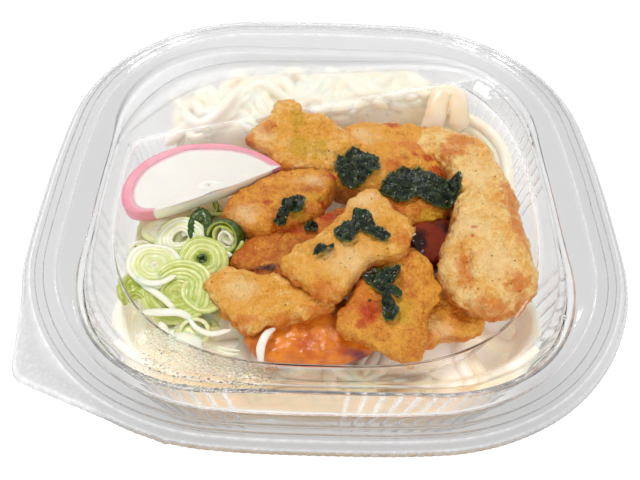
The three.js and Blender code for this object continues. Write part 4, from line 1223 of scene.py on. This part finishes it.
def seaweed_leaf(node, outline, hosts, material, seed):
    """A thin crinkled leaf that lies on the fried pieces."""
    edge = closed_curve(outline, LEAF_SIDES)
    middle = edge.mean(axis=0)
    far = edge - middle
    ragged = 0.75 * layered_noise(np.column_stack([edge * 1.1, np.zeros(LEAF_SIDES)]), 1.5, 3, seed)
    far = far * (1 + ragged / np.maximum(2.0, np.linalg.norm(far, axis=1)))[:, None]
    shares = np.linspace(0, 1, LEAF_ROWS + 1)[1:]
    grid = middle + far * shares[:, None, None]
    flat = grid.reshape(-1, 2)
    level_points = np.column_stack([flat, np.zeros(len(flat))])
    folds = 1.9 * np.sqrt(np.abs(layered_noise(level_points, 3.0, 1, seed + 2)))
    crinkle = 0.7 * np.abs(layered_noise(level_points, 1.2, 2, seed + 4))
    low = resting_heights(flat, hosts) + 0.15 + (folds + crinkle).reshape(LEAF_ROWS, LEAF_SIDES)
    under = np.concatenate([grid, low[:, :, None]], axis=2)
    over = under + (0, 0, LEAF_THICKNESS)
    centres = [(*middle, under[0, :, 2].mean()), (*middle, over[0, :, 2].mean())]
    near_edge = np.repeat(np.concatenate([shares, shares[::-1]])[:, None], LEAF_SIDES, axis=1)
    shape = Shape()
    add_rings(shape, np.concatenate([under, over[::-1]]), centres, edge=near_edge)
    return make_piece(node.replace("seaweed", "leaf"), shape, material, node)


def white_shred(material):
    width = np.interp(np.linspace(0, 1, 30), [0, 0.3, 0.7, 1], [0.5, 1.15, 1.3, 0.8])
    shape = Shape()
    add_strand(shape, smooth_path(SHRED_PATH, 30), width, 12, 0.6)
    return make_piece("shred", shape, material, "white_shred")


# ---- Materials. Colours are given as 0 to 255 on screen. ----

# Lower than the plastic's own, which comes nearest to how little the sheets bend the view in the photo.
PLASTIC_IOR = 1.24
TRAY_IOR = 1.16
# Painted shade: the grey that stands in for darker surroundings seen in and through the clear plastic.
PAINTED_SHADE_GREY = (196, 196, 197)


def colour(values):
    """A colour on screen as linear light with alpha."""
    linear = [(v / 255 / 12.92) if v <= 10 else ((v / 255 + 0.055) / 1.055) ** 2.4 for v in values]
    return (*linear, 1.0)


class Nodes:
    """Builds one material's node tree."""

    def __init__(self, name):
        self.material = bpy.data.materials.new(name)
        self.material.use_nodes = True
        self.tree = self.material.node_tree
        self.shader = self.tree.nodes["Principled BSDF"]

    def feed(self, socket, value):
        """Links a node's output to a socket, or sets the socket to a number or a colour."""
        if hasattr(value, "node"):
            self.tree.links.new(value, socket)
        else:
            socket.default_value = colour(value) if isinstance(value, tuple) else value

    def set(self, **inputs):
        for name, value in inputs.items():
            self.feed(self.shader.inputs[name.replace("_", " ")], value)

    def soft_food(self, tone, roughness, softness, depth, relief, **more):
        """Sets the look of moist food, into which light sinks some millimetres deep."""
        self.set(Base_Color=tone, Roughness=roughness, Normal=relief, **more)
        self.set(Subsurface_Weight=softness, Subsurface_Scale=depth * MM)
        return self.material

    def add(self, kind, output, settings=None, **inputs):
        """Adds a node with its settings and inputs, and gives one of its outputs."""
        node = self.tree.nodes.new(kind)
        for name, setting in (settings or {}).items():
            setattr(node, name, setting)
        for name, value in inputs.items():
            self.feed(node.inputs[name.replace("_", " ")], value)
        return node.outputs[output]

    def value(self, name):
        return self.add("ShaderNodeAttribute", "Fac", {"attribute_name": name})

    def place(self):
        return self.add("ShaderNodeTexCoord", "Object")

    def noise(self, size, detail=3.0, roughness=0.5, stretch=(1, 1, 1)):
        """Noise with features about `size` millimetres across."""
        place = self.add("ShaderNodeMapping", "Vector", Vector=self.place(), Scale=list(stretch))
        scale = 1 / (size * MM)
        return self.add(
            "ShaderNodeTexNoise", "Fac", Vector=place, Scale=scale, Detail=detail, Roughness=roughness
        )

    def patches(self, size, low, high, detail=3.0, roughness=0.5, stretch=(1, 1, 1)):
        """Patches about `size` millimetres across, where the noise rises from low to high."""
        return self.ramp(self.noise(size, detail, roughness, stretch), low, high)

    def cells(self, size, feature="F1"):
        """How far each place is from the middle of its cell. Cells are about `size` millimetres across."""
        kind = {"feature": feature}
        return self.add("ShaderNodeTexVoronoi", "Distance", kind, Vector=self.place(), Scale=1 / (size * MM))

    def ramp(self, factor, low, high):
        """Spreads the part of a value between low and high over 0 to 1."""
        smooth = {"interpolation_type": "SMOOTHSTEP"}
        return self.add("ShaderNodeMapRange", "Result", smooth, Value=factor, From_Min=low, From_Max=high)

    def bump(self, height, distance, **under):
        """Relief of a height, `distance` millimetres deep, over the relief given as Normal."""
        return self.add("ShaderNodeBump", "Normal", Height=height, Distance=distance * MM, **under)

    def math(self, operation, a, b):
        node = self.tree.nodes.new("ShaderNodeMath")
        node.operation = operation
        self.feed(node.inputs[0], a)
        self.feed(node.inputs[1], b)
        return node.outputs[0]

    def plus(self, a, b):
        return self.math("ADD", a, b)

    def minus(self, a, b):
        return self.math("SUBTRACT", a, b)

    def times(self, a, b):
        return self.math("MULTIPLY", a, b)

    def mix(self, factor, a, b):
        """The colour a where the factor is 0, and b where it is 1."""
        node = self.tree.nodes.new("ShaderNodeMix")
        node.data_type = "RGBA"
        inputs = [socket for socket in node.inputs if socket.enabled]
        for socket, value in zip(inputs, (factor, a, b)):
            self.feed(socket, value)
        return next(socket for socket in node.outputs if socket.enabled)


def whitened(nodes, share):
    """How clear the plastic is: less so at its creases and rib crests, which are whitened in an uneven way,
    partly by stress and partly as painted highlight lines.
    """
    uneven = nodes.plus(0.5, nodes.times(nodes.patches(3.0, 0.3, 0.7), 0.5))
    return nodes.minus(1.0, nodes.times(nodes.times(nodes.value("crease"), uneven), share))


def bowl_plastic():
    nodes = Nodes("bowl_plastic")
    tab = nodes.times(nodes.value("tab"), 0.45)
    stipple = nodes.times(nodes.ramp(nodes.cells(1.3), 0.25, 0.6), tab)
    smoke = nodes.times(nodes.value("smoke"), nodes.minus(1.0, tab))
    # Base colour: painted shade grey, with the tab's frosted stipple mixed in.
    shaded_tint = nodes.mix(nodes.plus(smoke, nodes.times(stipple, 0.6)), (252, 252, 252), PAINTED_SHADE_GREY)
    haze = nodes.plus(0.05, nodes.times(nodes.patches(14.0, 0.35, 0.7), 0.05))
    rough = nodes.plus(haze, nodes.times(nodes.value("tab"), 0.3))
    wavy = nodes.bump(nodes.noise(9.0, 2.0), 0.06)
    nodes.set(Base_Color=shaded_tint, Roughness=rough, IOR=PLASTIC_IOR, Normal=wavy)
    nodes.set(Transmission_Weight=whitened(nodes, 0.65))
    return nodes.material


def tray_plastic():
    nodes = Nodes("tray_plastic")
    # Base colour: painted shade grey on the outer brim.
    shaded_tint = nodes.mix(nodes.value("smoke"), (253, 253, 253), PAINTED_SHADE_GREY)
    droplets = nodes.patches(4.0, 0.35, 0.65)
    mist = nodes.times(nodes.value("fog"), nodes.plus(0.26, nodes.times(droplets, 0.08)))
    beads = nodes.times(nodes.ramp(nodes.cells(1.0), 0.5, 0.15), nodes.value("drops"))
    relief = nodes.bump(beads, 0.5, Normal=nodes.bump(nodes.noise(9.0, 2.0), 0.1))
    nodes.set(Base_Color=shaded_tint, Roughness=nodes.plus(0.04, mist), IOR=TRAY_IOR, Normal=relief)
    nodes.set(Transmission_Weight=whitened(nodes, 0.9))
    return nodes.material


def noodle_material():
    nodes = Nodes("udon_noodle")
    tone = nodes.mix(nodes.value("shade"), (254, 249, 236), (250, 241, 218))
    tone = nodes.mix(nodes.patches(7.0, 0.42, 0.7), tone, (255, 252, 244))
    # Painted shade: a darker, warmer tone where the noodles lie in shade.
    tone = nodes.mix(nodes.value("warm_shade"), tone, (238, 190, 112))
    # Painted light: the noodles glow a little, most in the bowl's front corners.
    nodes.set(Emission_Color=tone, Emission_Strength=nodes.value("painted_glow"))
    return nodes.soft_food(tone, 0.32, 0.35, 2.0, nodes.bump(nodes.noise(1.6), 0.08))


def batter_material():
    nodes = Nodes("batter")
    cloud = nodes.minus(nodes.noise(6.0, 3.0, 0.55), 0.5)
    mottle = nodes.minus(nodes.noise(2.1, 4.0, 0.62), 0.5)
    grain = nodes.minus(nodes.noise(0.7, 3.0, 0.7), 0.5)
    ragged = nodes.plus(cloud, nodes.plus(mottle, nodes.times(grain, 0.8)))

    def uneven(kind, amount):
        return nodes.plus(nodes.value(kind), nodes.times(ragged, amount))

    def patch(tone, kind, amount, shade, raggedness=0.9, low=0.15, high=1.05):
        strength = nodes.ramp(uneven(kind, raggedness), low, high)
        return nodes.mix(nodes.times(strength, amount), tone, shade)

    toast = uneven("toast", 1.3)
    tone = nodes.mix(nodes.ramp(toast, -0.35, 0.5), (251, 214, 142), (235, 165, 56))
    tone = nodes.mix(nodes.ramp(toast, 0.5, 1.4), tone, (192, 94, 8))
    tone = patch(tone, "pale", 0.6, (250, 214, 154))
    tone = patch(tone, "olive", 0.75, (206, 160, 24))
    tone = patch(tone, "rim", 0.8, (200, 104, 22), 0.8, 0.45, 1.3)
    tone = patch(tone, "orange", 0.75, (214, 112, 22))
    tone = patch(tone, "red", 0.9, (190, 58, 10))
    tone = patch(tone, "dark", 1.0, (72, 30, 20))
    speck_and_glint = nodes.times(nodes.ramp(nodes.cells(2.3), 0.2, 0.08), nodes.patches(2.6, 0.5, 0.58))
    tone = nodes.mix(nodes.times(speck_and_glint, 0.75), tone, (128, 64, 20))
    bumps = nodes.bump(nodes.noise(2.1, 4.0, 0.62), 1.1)
    pits = nodes.bump(nodes.cells(0.9, "SMOOTH_F1"), 0.35, Normal=bumps)
    fine = nodes.bump(nodes.noise(0.45, 3.0, 0.65), 0.26, Normal=pits)
    roughness = nodes.minus(0.46, nodes.times(nodes.patches(4.0, 0.4, 0.65), 0.2))
    return nodes.soft_food(tone, roughness, 0.1, 0.8, fine, Specular_IOR_Level=0.38)


def sweet_potato_material():
    nodes = Nodes("sweet_potato")
    tone = nodes.mix(nodes.patches(4.0, 0.35, 0.7), (232, 138, 30), (200, 92, 14))
    tone = nodes.mix(nodes.times(nodes.value("rim"), 0.5), tone, (200, 92, 20))
    crust = nodes.patches(3.4, 0.54, 0.66, 4.0, 0.6)
    tone = nodes.mix(nodes.times(crust, 0.55), tone, (206, 130, 58))
    tone = nodes.mix(nodes.value("red"), tone, (120, 44, 58))
    fibres = nodes.noise(0.8, stretch=(0.3, 1, 1))
    relief = nodes.bump(fibres, 0.12, Normal=nodes.bump(nodes.noise(2.6), 0.3))
    return nodes.soft_food(tone, 0.28, 0.2, 1.5, relief)


def eggplant_material():
    nodes = Nodes("eggplant")
    tone = nodes.mix(nodes.patches(7.0, 0.4, 0.66), (134, 42, 6), (44, 12, 8))
    relief = nodes.bump(nodes.noise(4.5, 2.0), 0.5)
    nodes.set(Base_Color=tone, Roughness=0.14, Specular_IOR_Level=0.3, Normal=relief)
    return nodes.material


def shred_material():
    nodes = Nodes("white_shred")
    tone = nodes.mix(nodes.patches(4.0, 0.35, 0.75), (250, 244, 232), (225.0, 219.6, 208.8))
    return nodes.soft_food(tone, 0.3, 0.4, 1.5, nodes.bump(nodes.noise(1.2), 0.05))


def near_pink(nodes):
    """How near the fish cake's pink skin is, in an uneven way."""
    return nodes.plus(nodes.value("bleed"), nodes.times(nodes.noise(2.5), 0.25))


def fish_cake_white_material():
    nodes = Nodes("fish_cake_white")
    # Painted light: the side face is given a lighter, creamier colour than the top to offset the shade it
    # lies in.
    tone = nodes.mix(nodes.value("side"), (237, 232, 223), (255, 252, 226))
    tone = nodes.mix(nodes.patches(6.0, 0.5, 0.9), tone, (234, 227, 226))
    tone = nodes.mix(nodes.ramp(near_pink(nodes), 0.45, 1.2), tone, (243, 178, 190))
    return nodes.soft_food(tone, 0.4, 0.3, 2.0, nodes.bump(nodes.noise(0.9), 0.03))


def fish_cake_pink_material():
    nodes = Nodes("fish_cake_pink")
    tone = nodes.mix(nodes.patches(3.0, 0.3, 0.75), (239, 147, 167), (231, 158, 168))
    tone = nodes.mix(nodes.ramp(near_pink(nodes), 0.8, 1.25), tone, (248, 214, 216))
    return nodes.soft_food(tone, 0.38, 0.25, 1.5, nodes.bump(nodes.noise(0.9), 0.04))


def onion_material():
    nodes = Nodes("spring_onion")
    patchy = nodes.times(nodes.minus(nodes.noise(2.4, 4.0), 0.5), 0.3)
    green = nodes.plus(nodes.value("green"), patchy)
    tone = nodes.mix(nodes.ramp(green, 0.05, 0.34), (250, 246, 226), (226, 230, 156))
    tone = nodes.mix(nodes.ramp(green, 0.34, 0.62), tone, (176, 188, 60))
    tone = nodes.mix(nodes.ramp(green, 0.6, 0.95), tone, (44, 78, 16))
    veins = nodes.patches(0.8, 0.45, 0.8, stretch=(1, 1, 0.2))
    tone = nodes.mix(nodes.times(veins, 0.25), tone, (206, 214, 140))
    relief = nodes.bump(nodes.noise(0.9, stretch=(1, 1, 0.3)), 0.1)
    return nodes.soft_food(tone, 0.22, 0.3, 1.2, relief)


def seaweed_material():
    nodes = Nodes("seaweed")
    tone = nodes.mix(nodes.patches(2.0, 0.42, 0.7, 4.0), (14, 24, 12), (44, 66, 24))
    tone = nodes.mix(nodes.times(nodes.ramp(nodes.value("edge"), 0.94, 1.0), 0.7), tone, (88, 112, 44))
    # Painted highlight: small beige specks stand in for glints on the wet leaf.
    speck_and_glint = nodes.times(nodes.patches(1.1, 0.6, 0.65, 4.0, 0.7), nodes.patches(3.0, 0.47, 0.58))
    tone = nodes.mix(speck_and_glint, tone, (176, 166, 122))
    relief = nodes.bump(nodes.noise(2.0), 0.5)
    nodes.set(Base_Color=tone, Roughness=0.2, Specular_IOR_Level=0.35, Normal=relief)
    return nodes.material


# ---- Stage. Places and sizes of lights are in metres. ----

FLOOR_REACH = 12000.0
FLOOR_DROP = 0.2
TENT_RADIUS = 700.0
TENT_TOP = 420.0
CAMERA_PLACE = (-5.18, -166.19, 220.31)
CAMERA_ELEVATION = 50.67
CAMERA_ROLL = 2.335
CAMERA_TURN = -1.19
CAMERA_LENS = 42.19
LIGHT_TARGET = (0, 0, 0.03)
TUBES = [
    # start and end
    ((-0.288, 0.785, 0.616), (-0.259, 0.806, 0.607)),
    ((-0.237, 0.818, 0.602), (-0.204, 0.833, 0.597)),
    ((0.222, 0.833, 0.592), (0.251, 0.822, 0.596)),
    ((0.273, 0.811, 0.599), (0.304, 0.792, 0.606)),
]
TUBE_WIDTH = 0.2
TUBE_POWER = 0.7


def stage_piece(name, points, faces, nodes):
    mesh = bpy.data.meshes.new(name)
    mesh.from_pydata((np.asarray(points) * MM).tolist(), [], faces)
    mesh.materials.append(nodes.material)
    piece = bpy.data.objects.new(name, mesh)
    bpy.context.scene.collection.objects.link(piece)
    return piece


def stage():
    nodes = Nodes("white_floor")
    grain = nodes.patches(30.0, 0.3, 0.8)
    nodes.set(Base_Color=nodes.mix(grain, (124, 124, 124), (120, 120, 120)), Roughness=0.9)
    nodes.set(Emission_Color=nodes.mix(grain, (255, 255, 255), (253, 253, 253)), Emission_Strength=0.88)
    corners = [(FLOOR_REACH * x, FLOOR_REACH * y, 0.0) for x, y in ((-1, -1), (1, -1), (1, 1), (-1, 1))]
    floor = stage_piece("floor", corners, [(0, 1, 2, 3)], nodes)
    floor.location.z = -FLOOR_DROP * MM


def white_tent():
    """White cloth round the table, seen only as reflections and through the bends of the plastic."""
    nodes = Nodes("white_cloth")
    glow = nodes.mix(nodes.patches(60.0, 0.3, 0.8), (250, 250, 250), (240, 240, 242))
    nodes.set(Base_Color=(200, 200, 200), Roughness=0.9, Emission_Color=glow, Emission_Strength=0.9)
    turn = np.linspace(0, TAU, 48, endpoint=False)
    points = np.vstack([polar(turn, TENT_RADIUS, level) for level in (1.0, TENT_TOP)])
    tent = stage_piece("white_tent", points, grid_faces(2, 48).tolist(), nodes)
    tent.visible_camera = False
    tent.visible_diffuse = False
    tent.visible_shadow = False


def camera():
    data = bpy.data.cameras.new("camera")
    data.sensor_width = 36
    data.lens = CAMERA_LENS
    data.clip_start = 0.01
    turn = Matrix.Rotation(math.radians(CAMERA_TURN), 4, "Z")
    tip = Matrix.Rotation(math.radians(90 - CAMERA_ELEVATION), 4, "X")
    roll = Matrix.Rotation(math.radians(CAMERA_ROLL), 4, "Z")
    made = bpy.data.objects.new("camera", data)
    made.matrix_world = Matrix.Translation([MM * v for v in CAMERA_PLACE]) @ turn @ tip @ roll
    bpy.context.scene.collection.objects.link(made)
    bpy.context.scene.camera = made


def area_light(name, place, right, back, size, power):
    """A light from a rectangle, which shines away from `back`."""
    data = bpy.data.lights.new(name, "AREA")
    data.shape = "RECTANGLE"
    data.size, data.size_y = size
    data.energy = power
    made = bpy.data.objects.new(name, data)
    axes = np.column_stack([right, np.cross(back, right), back])
    made.matrix_world = Matrix.Translation(place) @ Matrix(axes.tolist()).to_4x4()
    bpy.context.scene.collection.objects.link(made)
    return made


def soft_light(name, place, size, power):
    """A rectangular light that shines on the bowl."""
    back = unit(np.array(place) - LIGHT_TARGET)
    return area_light(name, place, unit(np.cross([0, 0, 1], back)), back, size, power)


def tube_light(name, start, end, plastic):
    """A short bright tube that shows as a white bar in the rim's gloss."""
    length = np.linalg.norm(end - start)
    along = (end - start) / length
    middle = (start + end) / 2
    away = unit(middle - along * (middle @ along))
    made = area_light(name, middle, along, away, (length, TUBE_WIDTH), TUBE_POWER)
    made.visible_diffuse = False
    made.light_linking.receiver_collection = plastic


def white_room():
    """A world that is a little darker below than above."""
    world = bpy.data.worlds.new("soft_room")
    bpy.context.scene.world = world
    world.use_nodes = True
    tree = world.node_tree
    coordinates = tree.nodes.new("ShaderNodeTexCoord")
    split = tree.nodes.new("ShaderNodeSeparateXYZ")
    ramp = tree.nodes.new("ShaderNodeValToRGB")
    background = tree.nodes["Background"]
    tree.links.new(coordinates.outputs["Generated"], split.inputs["Vector"])
    tree.links.new(split.outputs["Z"], ramp.inputs["Fac"])
    tree.links.new(ramp.outputs["Color"], background.inputs["Color"])
    low, high = ramp.color_ramp.elements
    low.position, low.color = 0.0, (0.62, 0.62, 0.63, 1)
    high.position, high.color = 0.7, (1.0, 1.0, 1.0, 1)
    background.inputs["Strength"].default_value = 0.56


def lights():
    """Lights the scene, and gives the collections of what the key light skips and the gleam lights."""
    skipped = bpy.data.collections.new("clear_plastic")
    plastic = bpy.data.collections.new("lit_plastic")
    key = soft_light("key", (-0.25, 0.35, 0.9), (0.26, 0.18), 3.9)
    key.light_linking.receiver_collection = skipped
    gleam = soft_light("gleam", (-0.2, -0.2, 1.0), (0.4, 0.4), 12.0)
    gleam.light_linking.receiver_collection = plastic
    fill = soft_light("fill", (0.25, -0.75, 0.55), (0.7, 0.4), 2.6)
    for light in (gleam, fill):
        light.visible_glossy = False
        light.visible_transmission = False
    for number, (start, end) in enumerate(TUBES):
        tube_light(f"tube{number + 1}", np.array(start), np.array(end), plastic)
    return skipped, plastic


# ---- Assembly ----


def see_through(piece):
    """The food's light comes straight through clear plastic, and gives it neither shadow nor gloss."""
    lit_plastic.objects.link(piece)
    skipped_by_key.objects.link(piece)
    skipped_by_key.collection_objects[-1].light_linking.link_state = "EXCLUDE"
    piece.visible_shadow = False
    piece.visible_diffuse = False


camera()
white_room()
skipped_by_key, lit_plastic = lights()
stage()
white_tent()

see_through(make_piece("clear_bowl", bowl_sheet(), bowl_plastic(), "bowl"))
see_through(make_piece("clear_tray", tray_sheet(), tray_plastic(), "tray"))
noodles(noodle_material())

batter = batter_material()
fried = [
    fried_piece(node, node.replace("tempura", "fried"), piece, batter, FRIED_SEED + 3 * number)
    for number, (node, piece) in enumerate(FRIED_PIECES.items())
]
fried.append(fried_piece("tempura_long", "fried_long", LONG_PIECE, batter, LONG_SEED, LONG_RELIEF))
soft_materials = {"eggplant": eggplant_material(), "sweet_potato": sweet_potato_material()}
for number, (node, piece) in enumerate(SOFT_PIECES.items()):
    fried_piece(node, node + "_piece", piece, soft_materials[node], SOFT_SEED + number, SOFT_RELIEF)

fish_cake_body(fish_cake_white_material())
fish_cake_skin(fish_cake_pink_material())
spring_onion(onion_material())
hosts = []
for piece in fried:
    points, faces = read_mesh(piece.data)
    hosts.append(BVHTree.FromPolygons(points.tolist(), faces))
seaweed = seaweed_material()
for number, (node, outline) in enumerate(SEAWEED_LEAVES.items()):
    seaweed_leaf(node, outline, hosts, seaweed, LEAF_SEED + 7 * number)
white_shred(shred_material())

bpy.context.scene.view_settings.view_transform = "Standard"
